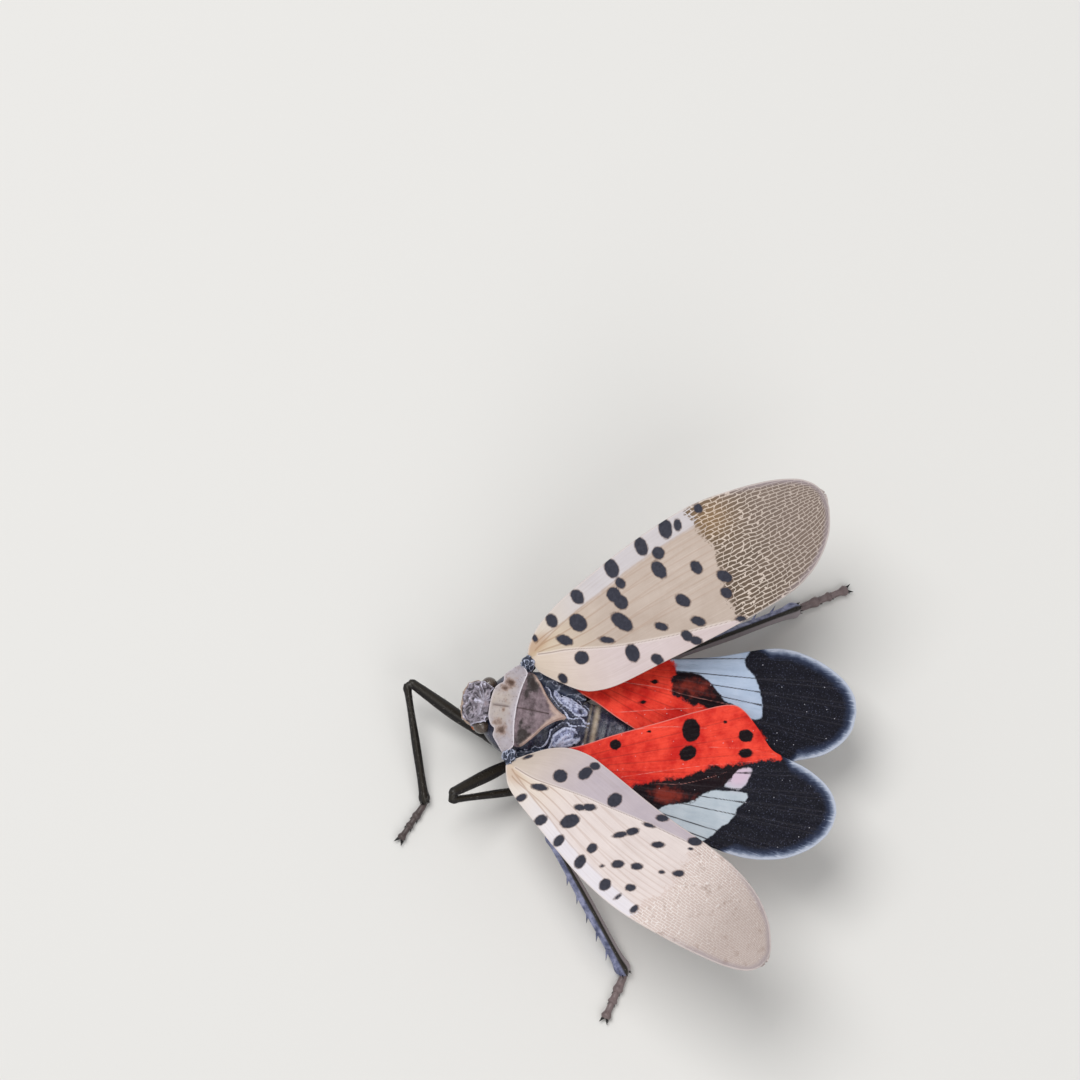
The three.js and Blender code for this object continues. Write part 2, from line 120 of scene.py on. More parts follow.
def flow(keys, values, places):
    """Numbers that pass smoothly through the given ones."""
    keys = np.array(keys, float)
    values = np.array(values, float).reshape(len(keys), -1)
    slopes = np.gradient(values, keys, axis=0)
    places = np.clip(np.atleast_1d(np.array(places, float)), keys[0], keys[-1])
    before = np.clip(np.searchsorted(keys, places) - 1, 0, len(keys) - 2)
    width = (keys[before + 1] - keys[before])[:, None]
    part = ((places - keys[before]) / width[:, 0])[:, None]
    leave = values[before] * (1 + 2 * part) * (1 - part) ** 2
    arrive = values[before + 1] * part ** 2 * (3 - 2 * part)
    leaving_slope = slopes[before] * width * part * (1 - part) ** 2
    arriving_slope = slopes[before + 1] * width * part ** 2 * (part - 1)
    return (leave + leaving_slope) + (arrive + arriving_slope)


def wrap(rows, sides):
    """A closed ball whose points are told by how far along it they are, 0 to 1, and by their turn."""
    skin = bmesh.new()
    bmesh.ops.create_uvsphere(skin, u_segments=sides, v_segments=rows + 1, radius=1)
    ball = np.array([point.co for point in skin.verts])
    row = np.round(np.arccos(np.clip(ball[:, 2], -1, 1)) * (rows + 1) / math.pi)
    open_ring = (row > 0) & (row <= rows)
    along = (np.clip(row, 1, rows) - 1) / (rows - 1)
    turn = np.arctan2(ball[:, 1], ball[:, 0])
    return skin, along, turn, open_ring.astype(float)


def to_line(points, line):
    """How far each point is from a bent line."""
    best = np.full(len(points), 1e3)
    line = np.array(line, float)
    for start, end in zip(line[:-1], line[1:]):
        run = end - start
        part = np.clip((points - start) @ run / (run @ run), 0, 1)
        best = np.minimum(best, np.linalg.norm(points - start - part[:, None] * run, axis=1))
    return best


def bent(line, steps=6):
    """The same line with its corners rounded."""
    keys = range(len(line))
    return flow(keys, line, np.linspace(0, len(line) - 1, steps * (len(line) - 1) + 1))


def to_lines(points, lines):
    """How far each point is from the nearest of several lines with rounded corners."""
    return np.min([to_line(points, bent(line)) for line in lines], axis=0)


def to_patch(points, outline):
    """Distance from a closed outline, negative inside it."""
    closed = bent(list(outline) + [outline[0]], 4)
    within = np.zeros(len(points), bool)
    for (x1, y1), (x2, y2) in zip(closed[:-1], closed[1:]):
        crosses = (y1 > points[:, 1]) != (y2 > points[:, 1])
        within ^= crosses & (points[:, 0] < (x2 - x1) * (points[:, 1] - y1) / (y2 - y1 + 1e-9) + x1)
    return np.where(within, -1, 1) * to_line(points, closed)


def bump_at(distance, width):
    """1 where the distance is 0, fading smoothly over the width."""
    return np.exp(-(distance / width) ** 2)


def rough(points, scale, seed=0.0):
    """Ridged noise from 0 to 1 at each point, with the given number of folds a millimetre."""
    return np.array([
        1 - abs(2 * noise.noise(Vector(point) * scale + Vector((seed, seed, seed)))) for point in points
    ])


def assemble(name, shape, points, material, slot, nodes, **marks):
    """Turns millimetre points into a finished piece in metres that stands for the CAD nodes named."""
    mesh = bpy.data.meshes.new(name)
    for vert, place in zip(shape.verts, points):
        vert.co = place * MILLIMETRE + INSECT_ZERO
    shape.normal_update()
    bmesh.ops.recalc_face_normals(shape, faces=shape.faces)
    is_sheet = any(edge.is_boundary for edge in shape.edges)
    if is_sheet and sum(face.normal.z for face in shape.faces) < 0:
        bmesh.ops.reverse_faces(shape, faces=shape.faces)
    shape.to_mesh(mesh)
    shape.free()
    mesh.shade_smooth()
    for mark, values in marks.items():
        mesh.attributes.new(mark, "FLOAT", "POINT").data.foreach_set("value", np.array(values, np.float32))
    mesh.materials.append(material)
    made = bpy.data.objects.new(name, mesh)
    bpy.context.scene.collection.objects.link(made)
    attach(made, "root")
    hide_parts(*nodes)
    return made


def tint(code):
    """A paint code as linear red, green and blue."""
    parts = [int(code[place:place + 2], 16) / 255 for place in (0, 2, 4)]
    linear = [((part + 0.055) / 1.055) ** 2.4 if part > 0.04045 else part / 12.92 for part in parts]
    return (*linear, 1.0)


def node(tree, kind, inputs=(), **settings):
    """One shader node; each input is a plain value or another node's output."""
    made = tree.nodes.new("ShaderNode" + kind)
    for name, value in settings.items():
        setattr(made, name, value)
    for name, value in dict(inputs).items():
        if isinstance(value, bpy.types.NodeSocket):
            tree.links.new(value, made.inputs[name])
        else:
            made.inputs[name].default_value = value
    return made


def mark_of(tree, name):
    """One of the marks that assemble() stores on every point."""
    return node(tree, "Attribute", attribute_name=name).outputs["Fac"]


def place_of(tree):
    return node(tree, "TexCoord").outputs["Object"]


def step(tree, value, low, high, at_low=0.0, at_high=1.0):
    """A soft step of a value between two levels."""
    inputs = {"Value": value, "From Min": low, "From Max": high, "To Min": at_low, "To Max": at_high}
    return node(tree, "MapRange", inputs, interpolation_type="SMOOTHSTEP").outputs["Result"]


def sum_of(tree, first, second, operation="ADD"):
    return node(tree, "Math", {0: first, 1: second}, operation=operation).outputs[0]


def times(tree, first, second):
    return sum_of(tree, first, second, "MULTIPLY")


def over(tree, mask, under, top):
    """Paints one colour over another where the mask is 1; each is a paint code or a node's output."""
    under, top = (tint(colour) if isinstance(colour, str) else colour for colour in (under, top))
    return node(tree, "Mix", {0: mask, 6: under, 7: top}, data_type="RGBA").outputs[2]


def speckle(tree, scale, detail=3.0, roughness=0.6, vector=None):
    """Cloudy noise around 0.5, with its scale in folds a metre."""
    inputs = {"Vector": vector or place_of(tree), "Scale": scale, "Detail": detail, "Roughness": roughness}
    return node(tree, "TexNoise", inputs).outputs["Fac"]


def cloudy(tree, dark, light, scale, detail=3.0):
    """Two paints in soft clouds."""
    return over(tree, speckle(tree, scale, detail), dark, light)


def jitter(tree, value, scale, amount):
    """A mark whose edge wanders by a small amount."""
    wander = step(tree, speckle(tree, scale, 4.0), 0.2, 0.8, -amount, amount)
    return sum_of(tree, value, wander)


def finish(name, paint, bump_depth, roughness, **shader_values):
    """A material whose colour and height come from paint(tree), with its roughness spread by speckle."""
    made = bpy.data.materials.new(name)
    made.use_nodes = True
    tree = made.node_tree
    colour, height = paint(tree)
    shader = tree.nodes["Principled BSDF"]
    tree.links.new(colour, shader.inputs["Base Color"])
    sheen = step(tree, speckle(tree, 9000.0), 0.3, 0.7, *roughness)
    tree.links.new(sheen, shader.inputs["Roughness"])
    bump = node(tree, "Bump", {"Height": height, "Strength": 0.8, "Distance": bump_depth * MILLIMETRE})
    tree.links.new(bump.outputs["Normal"], shader.inputs["Normal"])
    for socket, value in shader_values.items():
        shader.inputs[socket.replace("_", " ")].default_value = value
    return made


def wax_bloom():
    """The white of wax powder and of a painted highlight on crests: a mask that fills in where the amount is
    high and breaks into crumbs, and its height.
    """
    group = bpy.data.node_groups.new("Wax bloom", "ShaderNodeTree")
    group.interface.new_socket("Amount", in_out="INPUT", socket_type="NodeSocketFloat")
    group.interface.new_socket("Mask", in_out="OUTPUT", socket_type="NodeSocketFloat")
    group.interface.new_socket("Height", in_out="OUTPUT", socket_type="NodeSocketFloat")
    entry = group.nodes.new("NodeGroupInput")
    leave = group.nodes.new("NodeGroupOutput")
    crumbs = speckle(group, 7000.0, 5.0, 0.7)
    level = sum_of(group, crumbs, entry.outputs["Amount"])
    mask = step(group, level, 0.95, 1.25)
    group.links.new(mask, leave.inputs["Mask"])
    group.links.new(times(group, mask, crumbs), leave.inputs["Height"])
    return group


WAX_BLOOM = wax_bloom()


def waxed(tree, amount):
    """The mask and height of wax and painted highlight for an amount from 0 to 1."""
    made = tree.nodes.new("ShaderNodeGroup")
    made.node_tree = WAX_BLOOM
    tree.links.new(amount, made.inputs["Amount"])
    return made.outputs["Mask"], made.outputs["Height"]


def paint_body(tree):
    """Blue-black plates, lavender-white on ridges and fold crests that is partly wax and partly painted
    highlight, a cream first ring, and yellow between dark bands.
    """
    ring = mark_of(tree, "ring")
    dark = cloudy(tree, "14141f", "343750", 2500.0)
    yellow = cloudy(tree, "b98a2a", "d8b45a", 1800.0)
    band = step(tree, jitter(tree, mark_of(tree, "band"), 2200.0, 0.12), 0.4, 0.65)
    banded = over(tree, band, yellow, dark)
    cream = cloudy(tree, "a3927c", "d8cbb4", 3000.0)
    creamed = over(tree, jitter(tree, mark_of(tree, "cream"), 3000.0, 0.15), banded, cream)
    body = over(tree, step(tree, ring, 0.0, 0.1), dark, creamed)
    lobe = over(tree, step(tree, speckle(tree, 3500.0, 6.0, 0.7), 0.3, 0.7), "343753", "a9aed0")
    lobed = over(tree, jitter(tree, mark_of(tree, "lobe"), 3000.0, 0.3), body, lobe)
    # the white is wax powder, and on the ridge and fold crests also a painted highlight
    wax, height = waxed(tree, mark_of(tree, "wax"))
    white = cloudy(tree, "8e95b8", "dfe2f4", 3500.0, 5.0)
    return over(tree, wax, lobed, white), sum_of(tree, height, speckle(tree, 9000.0, 5.0, 0.7))


def make_body():
    skin, along, turn, open_ring = wrap(BODY_ROWS, BODY_SIDES)
    y = BODY_RINGS[0][0] + along * (BODY_RINGS[-1][0] - BODY_RINGS[0][0])
    rings = np.array(BODY_RINGS)
    half, top, widest, bottom, square = flow(rings[:, 0], rings[:, 1:], y).T
    across = np.cos(turn) * open_ring
    up = np.sin(turn) * open_ring
    upper = up > 0
    x = np.where(upper, np.sign(across) * np.abs(across) ** (2 / square), across) * half
    rise = np.where(upper, np.abs(up) ** (2 / square) * (top - widest), up * (widest - bottom))
    segment = np.clip((y - ABDOMEN_FRONT) / (ABDOMEN_REAR - ABDOMEN_FRONT) * ABDOMEN_SEGMENTS, 0, None)
    phase = segment % 1
    lip = SEGMENT_LIP * phase ** 2 - 0.09 * bump_at(phase - 1, 0.07)
    lip = np.where(y > ABDOMEN_FRONT, lip, 0)
    swell = 1 + lip / 2
    x = x * swell
    z = widest + rise * swell
    side = np.abs(x)
    sway = np.array([noise.noise(Vector((here, there, 2.0)) * 1.4) for here, there in zip(x, y)])
    plan = np.stack([side + 0.22 * sway, y + 0.2 * np.sin(3 * x + 2 * sway)], axis=1)
    plan[:, 1] = np.where(y < 4.6, plan[:, 1], y)
    ridge = bump_at(to_lines(plan, WAX_RIDGES), WAX_RIDGE_WIDTH) * (up > 0.1) * (y > 0.4)
    dot = bump_at(np.hypot(side - LOBE_DOT[0], y - LOBE_DOT[1]), LOBE_DOT_SIZE)
    lobe = np.clip(0.5 - to_patch(plan, LOBE_OUTLINE) / 0.16, 0, 1) * (up > 0)
    points = np.stack([x, y, z], axis=1)
    folds = rough(points, 3.2) ** 3 * (0.09 + 0.07 * lobe) * (y > 0.5) * (y < 4.7)
    side_plan = np.stack([y, z], axis=1)
    groove = bump_at(to_lines(side_plan, FLANK_GROOVES), FLANK_GROOVE_WIDTH)
    groove = groove * (side > 1.3) * (up < 0.85)
    knob = bump_at(np.hypot(x / 0.3, (y - 4.3) / 0.5), 1.0) * upper
    points[:, 2] += ridge * WAX_RIDGE_HEIGHT + lobe * LOBE_HEIGHT - dot * LOBE_DOT_SIZE + folds
    points[:, 2] += knob * TAIL_KNOB_HEIGHT
    points[:, 0] -= np.sign(x) * groove * FLANK_GROOVE_DEPTH
    second_ring = (y > 5.45) * (y < 6.4) * (up > 0.5)
    # white mark: wax on the rear rings and tail knob; on the ridges and fold crests partly a painted
    # highlight
    wax = np.clip(ridge * 0.75 + lobe * 0.25 + folds * 2.5 + 0.32 * second_ring, 0, 0.8)
    wax = np.maximum(wax, 0.5 * knob)
    wax = np.maximum(wax, 0.2 * upper * (y > 6.6)) * (1 - dot)
    upper_band = 1 - bump_at(phase - 0.98, 0.09) * (y > 7.2)
    lower_band = 0.3 + 0.6 * bump_at(phase - 0.3, 0.28)
    mixed = np.clip((up + 0.1) / 0.4 + 0.5 * sway, 0, 1)
    band = lower_band + (upper_band - lower_band) * mixed
    cream = np.maximum(bump_at(y - FIRST_RING, 0.17), 0.5 * bump_at(y - 4.62, 0.09)) * (up > 0.1)
    assemble(
        "body", skin, points, finish("body cuticle", paint_body, 0.03, (0.15, 0.42)),
        "abdomen", ["thorax", "abdomen"],
        ring=(y > 4.5).astype(float), wax=wax, band=band, cream=cream, lobe=lobe * (1 - dot),
    )


make_body()

# Pronotum: the broad saddle behind the head, a thin tan plate of cuticle with a keel along its middle.
# Its front edge is notched behind each eye, and its rear edge has a pale bead.
PRONOTUM_FRONT = [
    [0, -1.62], [0.5, -1.6], [1.0, -1.5], [1.25, -1.34], [1.42, -1.1], [1.6, -1.05], [1.9, -1.08],
    [2.35, -0.74], [2.7, -0.42], [2.9, -0.2],
]
PRONOTUM_REAR = [[0, 0.02], [1.1, 0.1], [1.9, 0.24], [2.35, 0.3], [2.6, 0.12], [2.78, -0.06], [2.9, -0.18]]
PRONOTUM_HALF = 2.9
PRONOTUM_SPREAD = 3.05
PRONOTUM_TOP = 6.56
PRONOTUM_SHOULDER = 5.05
PRONOTUM_COLUMNS = 120
PRONOTUM_ROWS = 60
KEEL_HEIGHT = 0.06
BEAD_HEIGHT = 0.05
PLATE_THICKNESS = 0.12


def sheet(columns, rows):
    """A flat grid whose points are told by their place across it and along it, both 0 to 1."""
    blank = bmesh.new()
    bmesh.ops.create_grid(blank, x_segments=columns, y_segments=rows, size=0.5)
    flat = np.array([point.co for point in blank.verts])
    return blank, flat[:, 0] + 0.5, flat[:, 1] + 0.5


def thicken(piece, thickness):
    """Gives a sheet its thickness, below the drawn surface."""
    wall = piece.modifiers.new("Thickness", "SOLIDIFY")
    wall.thickness = thickness * MILLIMETRE
    wall.offset = -1


def read_off(table, places):
    """The second column of a table, read smoothly at places in its first one."""
    table = np.array(table)
    return flow(table[:, 0], table[:, 1], places)[:, 0]


def paint_pronotum(tree):
    """Grey, tan towards the middle, with brown blotches, a dark line, pits and a pale rear bead."""
    grey = cloudy(tree, "938a90", "bcb4ba", 1800.0, 5.0)
    tan = cloudy(tree, "998b80", "c4b7ac", 1400.0, 5.0)
    tanned = times(tree, jitter(tree, mark_of(tree, "tan"), 1500.0, 0.3), 0.8)
    toned = over(tree, tanned, grey, tan)
    smudge = jitter(tree, mark_of(tree, "blotch"), 2500.0, 0.35)
    ochre = over(tree, step(tree, smudge, 0.0, 0.6, 0.0, 0.6), toned, "937461")
    blotched = over(tree, step(tree, smudge, 0.3, 1.1), ochre, "4e3529")
    lined = over(tree, mark_of(tree, "keel_line"), blotched, "432b28")
    beaded = over(tree, mark_of(tree, "bead"), lined, "ded6dc")
    pits = step(tree, speckle(tree, 9000.0, 2.0), 0.3, 0.42)
    pitted = over(tree, step(tree, pits, 0, 1, 0.45, 0.0), beaded, "6d5c58")
    return pitted, sum_of(tree, pits, speckle(tree, 3000.0))


def make_pronotum():
    plate, across, along = sheet(PRONOTUM_COLUMNS, PRONOTUM_ROWS)
    u = across * 2 - 1
    side = np.abs(np.sin(u * math.pi / 2)) * PRONOTUM_HALF
    front = read_off(PRONOTUM_FRONT, side)
    rear = read_off(PRONOTUM_REAR, side)
    x = np.sign(u) * side
    y = front + (rear - front) * along
    dome = (1 - (side / PRONOTUM_SPREAD) ** 2.2) ** (1 / 2.2)
    z = PRONOTUM_SHOULDER + dome * (PRONOTUM_TOP - PRONOTUM_SHOULDER) - 0.2 * np.clip(-y, 0, 2) ** 1.6
    keel = bump_at(x, 0.05) * np.clip((y + 1.55) * 4, 0, 1)
    bead = bump_at(rear - y, 0.06)
    front_bead = bump_at(y - front, 0.07)
    pits = bump_at(np.hypot(side - 0.32, y + 0.72), 0.12)
    blotch = np.maximum(
        bump_at(np.hypot((side - 1.5) / 0.8, y + 0.6), 0.36),
        0.8 * bump_at(np.hypot((side - 1.12), (y + 0.85) / 1.3), 0.27),
    )
    hollow = bump_at(np.hypot((side - 1.35) / 1.5, y + 0.75), 0.35)
    z = z + KEEL_HEIGHT * keel + BEAD_HEIGHT * bead + BEAD_HEIGHT * front_bead - 0.07 * pits - 0.1 * hollow
    line = bump_at(x - 0.05, 0.045) * np.clip((y + 1.5) * 5, 0, 1) * np.clip((-0.3 - y) * 5, 0, 1)
    made = assemble(
        "pronotum_plate", plate, np.stack([x, y, z], axis=1),
        finish("pronotum cuticle", paint_pronotum, 0.02, (0.55, 0.8)), "pronotum", ["prothorax"],
        blotch=blotch + 0.5 * pits, keel_line=line, bead=np.clip(np.maximum(bead, 0.5 * front_bead), 0, 1),
        tan=bump_at(side, 1.5) * np.clip(-y * 2, 0, 1),
    )
    thicken(made, PLATE_THICKNESS)


make_pronotum()

# Mesonotum: the shield between the wings, a domed brown plate that ends in the point of the scutellum.
# Its sides have a pale thick border, and a dark groove runs down its middle.
SHIELD_HALF_WIDTHS = [
    [-0.1, 2.1], [0.2, 2.3], [0.5, 2.4], [0.8, 2.3], [1.1, 2.0], [1.35, 1.7], [1.82, 1.06], [2.2, 0.68],
    [2.6, 0.36], [2.95, 0.16], [3.2, 0.03],
]
SHIELD_TOP = 6.46
SHIELD_GRID = 90
SHIELD_RIM_HEIGHT = 0.09
SHIELD_GROOVE_DEPTH = 0.05


def ragged(tree, name, scale, detail=3.0, middle=0.5):
    """A mark that speckle breaks up."""
    return sum_of(tree, mark_of(tree, name), sum_of(tree, speckle(tree, scale, detail), middle, "SUBTRACT"))


def paint_shield(tree):
    """Brown-mauve with dark corners, a dark middle line, and a tan border that fades to the tip."""
    mottle = step(tree, speckle(tree, 1300.0, 6.0, 0.7), 0.28, 0.72)
    mauve = over(tree, mottle, "46353a", "8c797f")
    smudge = jitter(tree, mark_of(tree, "corner"), 2200.0, 0.4)
    dark = over(tree, step(tree, smudge, 0.05, 0.6), mauve, "241716")
    lined = over(tree, mark_of(tree, "middle"), dark, "33211e")
    border = cloudy(tree, "947a71", "c9b0a4", 2500.0)
    uneven = ragged(tree, "border", 3000.0)
    edged = over(tree, step(tree, uneven, 0.2, 0.95), lined, border)
    return edged, speckle(tree, 5000.0, 6.0, 0.7)


def make_shield():
    plate, across, along = sheet(SHIELD_GRID, SHIELD_GRID)
    u = across * 2 - 1
    start = 0.06 + 0.1 * (u * 0.8) ** 2
    y = start + (SCUTELLUM_TIP - start) * along
    half = read_off(SHIELD_HALF_WIDTHS, y)
    x = u * half
    z = SHIELD_TOP - 0.05 * x ** 2 - 0.035 * (y - 1) ** 2
    edge = half * (1 - np.abs(u))
    rim = bump_at(edge - 0.12, 0.12) * np.clip((y - 0.3) * 3, 0, 1)
    middle = bump_at(x, 0.035) * (y < 2.1)
    z = z + SHIELD_RIM_HEIGHT * rim - SHIELD_GROOVE_DEPTH * middle - 0.12 * bump_at(edge, 0.1)
    z = z + 0.05 * rough(np.stack([x, y, z], axis=1), 1.6) * (y > 0.3)
    side = np.abs(x)
    corner = bump_at(np.hypot((side - 1.74) / 1.3, y - 0.76), 0.42)
    corner = np.maximum(corner, 0.6 * bump_at(np.hypot(side - 0.9, (y - 0.5) / 0.5), 0.3))
    sides = bump_at(edge, 0.32) * np.clip((y - 0.5) * 2.5, 0, 1)
    border = np.clip(sides + np.clip((y - 1.7) * 0.7, 0, 1), 0, 1)
    made = assemble(
        "mesonotum_plate", plate, np.stack([x, y, z], axis=1),
        finish("mesonotum cuticle", paint_shield, 0.02, (0.5, 0.75)), "mesonotum", ["mesonotum"],
        corner=corner, middle=middle, border=border,
    )
    thicken(made, PLATE_THICKNESS * 2)


make_shield()

# Head: a tall capsule of wrinkled grey cuticle, with a flat face edged by keels and the mouth below.
# A cream and orange rim runs along the front of the crown, and a raised rim holds each eye.
HEAD_RINGS = [
    # height, half width, front, middle, back, squareness; front to back is measured towards -Y
    [1.8, 0.28, 2.36, 2.2, 2.05, 2.0],
    [2.15, 0.42, 2.5, 2.25, 1.98, 2.0],
    [2.6, 0.62, 2.72, 2.25, 1.9, 2.2],
    [3.2, 0.9, 2.95, 2.25, 1.82, 2.5],
    [4.0, 1.2, 3.15, 2.25, 1.72, 2.7],
    [4.9, 1.4, 3.34, 2.2, 1.6, 2.8],
    [5.35, 1.42, 3.38, 2.15, 1.5, 2.6],
    [5.7, 1.32, 3.24, 2.1, 1.42, 2.4],
    [5.95, 1.08, 2.9, 2.1, 1.45, 2.2],
    [6.08, 0.7, 2.55, 2.05, 1.6, 2.0],
]
HEAD_ROWS = 150
HEAD_SIDES = 150
HEAD_MIDDLE = [0, -2.15, 4.4]
CHEEK_KEEL = [[1.8, 0.3], [3.0, 0.6], [4.2, 0.95], [5.4, 1.05]]
EYE_CENTRE = [1.33, -1.88, 5.14]
EYE_SIZE = [0.48, 0.5, 0.56]


def from_eye(points, side):
    """Distance from the middle of an eye, 1 on its surface."""
    return np.linalg.norm((points - np.array(EYE_CENTRE) * [side, 1, 1]) / EYE_SIZE, axis=1)


def paint_head(tree):
    """Grey-mauve with a painted highlight on the broken crests and painted shade in the hollows,
    orange-brown and cream along the front rim.
    """
    grey = over(tree, step(tree, speckle(tree, 1800.0, 6.0, 0.7), 0.3, 0.7), "453c42", "a49ba8")
    brown = over(tree, step(tree, speckle(tree, 900.0, 4.0), 0.5, 0.7, 0.0, 0.6), grey, "6a5044")
    crest = ragged(tree, "crest", 5000.0, 5.0, 0.62)
    # painted highlight: pale lavender on the raised crests
    crest_highlight = over(tree, step(tree, crest, 0.25, 0.8), brown, "cdc9da")
    # painted shade: near-black in the hollows between the crests
    hollow = over(tree, step(tree, mark_of(tree, "crest"), 0.02, 0.22, 0.85, 0.0), crest_highlight, "1c181f")
    rust = cloudy(tree, "6b442f", "c9b4a0", 2500.0, 4.0)
    rimmed = over(tree, step(tree, jitter(tree, mark_of(tree, "brow"), 2500.0, 0.4), 0.3, 0.9), hollow, rust)
    return rimmed, speckle(tree, 6000.0, 6.0, 0.75)


def make_head():
    skin, along, turn, open_ring = wrap(HEAD_ROWS, HEAD_SIDES)
    rings = np.array(HEAD_RINGS)
    z = rings[0, 0] + along * (rings[-1, 0] - rings[0, 0])
    half, front, middle, back, square = flow(rings[:, 0], rings[:, 1:], z).T
    across = np.cos(turn) * open_ring
    ahead = np.sin(turn) * open_ring
    x = np.sign(across) * np.abs(across) ** (2 / square) * half
    to_front = np.abs(ahead) ** (2 / square) * (front - middle)
    reach = np.where(ahead > 0, to_front, ahead * (middle - back))
    points = np.stack([x, -(middle + reach), z], axis=1)
    side = np.abs(x)
    face = ahead > 0.2
    cheek_keel = read_off(CHEEK_KEEL, z)
    inner_keel = bump_at(side - cheek_keel * 0.42, 0.06) * (z > 3.3)
    keels = np.maximum(bump_at(side - cheek_keel, 0.08), inner_keel) * face * (z < 5.6)
    brow = bump_at(z - 5.55 + 0.12 * side ** 2, 0.12) * face
    mouth_seam = bump_at(z - 3.1 - 0.25 * side, 0.06) * face
    crown = np.clip((z - 5.5) * 3, 0, 1)
    lumps = np.array([noise.noise(Vector(point) * 1.6) for point in points])
    wrinkle = rough(points * [1, 1.5, 1] + 0.25 * lumps[:, None], 1.9, 3.1) ** 4
    fine = rough(points, 4.4, 7.7) ** 3
    orbit = np.zeros(len(x))
    socket = np.zeros(len(x))
    for way in (-1, 1):
        distance = from_eye(points, way)
        orbit = np.maximum(orbit, bump_at(distance - 1.3, 0.13))
        socket = np.maximum(socket, bump_at(np.maximum(distance - 0.98, 0), 0.13))
    out = points - np.array(HEAD_MIDDLE)
    out = out / np.linalg.norm(out, axis=1)[:, None]
    relief = 0.07 * keels + 0.1 * brow - 0.05 * mouth_seam + 0.07 * orbit - 0.34 * socket
    creases = 0.17 * wrinkle + 0.1 * fine + 0.12 * lumps
    relief = relief + creases * np.maximum(crown, 0.2) * (1 - socket) - 0.06
    points = points + out * relief[:, None]
    # the crest mark sets the painted highlight on crests and the painted shade in hollows
    crest = 0.7 * keels + 0.8 * orbit + 0.7 * wrinkle * np.maximum(crown, 0.3) + 0.35 * fine
    crest = np.clip(crest, 0, 1) * (1 - mouth_seam)
    assemble(
        "head_capsule", skin, points, finish("head cuticle", paint_head, 0.03, (0.15, 0.45)),
        "head", ["head"], crest=crest, brow=brow,
    )


make_head()

# Eyes: a dark glossy bulge on each side of the head, made of rows of tiny clear lenses.
# Each is sunk into its socket, and the head's raised rim holds it.
SIDES = {"left": 1, "right": -1}
EYE_ROWS = 48
EYE_SIDES = 64
POLE_CAP = 0.04


def on_ball(along, turn, open_ring):
    """The points of a wrapped skin as a ball of radius 1."""
    tilt = POLE_CAP + along * (math.pi - 2 * POLE_CAP)
    round_about = np.sin(tilt) * open_ring
    return np.stack([round_about * np.cos(turn), round_about * np.sin(turn), np.cos(tilt)], axis=1)


def paint_eye(tree):
    """Clouded brown, with the honeycomb of the lenses."""
    lens = node(tree, "TexVoronoi", {"Vector": place_of(tree), "Scale": 22000.0}, feature="DISTANCE_TO_EDGE")
    height = step(tree, lens.outputs["Distance"], 0.0, 0.25)
    brown = cloudy(tree, "2a201b", "6a584b", 2500.0)
    return over(tree, step(tree, height, 0, 1, 0.3, 0.0), brown, "090808"), height


eye_finish = finish("eye lenses", paint_eye, 0.006, (0.08, 0.2), Coat_Weight=0.6, Coat_Roughness=0.08)
for side, way in SIDES.items():
    skin, along, turn, open_ring = wrap(EYE_ROWS, EYE_SIDES)
    points = np.array(EYE_CENTRE) * [way, 1, 1] + on_ball(along, turn, open_ring) * EYE_SIZE
    assemble(f"eye_ball_{side}", skin, points, eye_finish, "eye", [f"eye_{side}"])

# Antennae: a short collar and a swollen orange bulb covered in pits, with a hair-fine bristle at its tip.
# One sits in a cup below each eye.
ANTENNA_ROOT = [1.04, -2.14, 3.95]
ANTENNA_DIRECTION = [-0.05, -0.1, -1.0]
ANTENNA_PROFILE = [
    # distance along, radius
    [0.0, 0.26], [0.16, 0.27], [0.24, 0.22], [0.3, 0.23], [0.45, 0.3], [0.62, 0.32], [0.78, 0.25],
    [0.88, 0.12], [0.96, 0.08], [1.05, 0.09], [1.14, 0.045], [1.4, 0.03], [1.7, 0.018],
]
ANTENNA_ROWS = 80
ANTENNA_SIDES = 28


def stalk(profile, root, direction, rows, sides, flatness=1.0, keels=0.0, up=(0, 0, 1)):
    """A turned limb on a straight line: its skin, points, reach from the root and turn from the top."""
    skin, along, turn, open_ring = wrap(rows, sides)
    profile = np.array(profile, float)
    line = Vector(direction).normalized()
    beside = line.cross(Vector(up)).normalized()
    above = beside.cross(line)
    reach = profile[0, 0] + along * (profile[-1, 0] - profile[0, 0])
    radius = read_off(profile, reach) * open_ring * (1 + keels * np.cos(4 * turn))
    points = np.array(root) + reach[:, None] * np.array(line)
    points = points + (radius * np.sin(turn) * flatness)[:, None] * np.array(beside)
    points = points + (radius * np.cos(turn))[:, None] * np.array(above)
    return skin, points, reach, turn


def paint_antenna(tree):
    """Orange with darker pits, and a black bristle."""
    orange = cloudy(tree, "b04a18", "dc7a33", 2500.0)
    pits = node(tree, "TexVoronoi", {"Vector": place_of(tree), "Scale": 9000.0})
    height = step(tree, pits.outputs["Distance"], 0.1, 0.5)
    pitted = over(tree, step(tree, height, 0.2, 0.6, 0.6, 0.0), orange, "7d2f0c")
    return over(tree, step(tree, mark_of(tree, "reach"), 0.86, 0.94), pitted, "15110f"), height


antenna_finish = finish("antenna cuticle", paint_antenna, 0.02, (0.3, 0.5))
for side, way in SIDES.items():
    root = np.array(ANTENNA_ROOT) * [way, 1, 1]
    direction = np.array(ANTENNA_DIRECTION) * [way, 1, 1]
    skin, points, reach, _ = stalk(ANTENNA_PROFILE, root, direction, ANTENNA_ROWS, ANTENNA_SIDES)
    assemble(
        f"antenna_bulb_{side}", skin, points, antenna_finish, "antenna", [f"antenna_{side}"], reach=reach,
    )

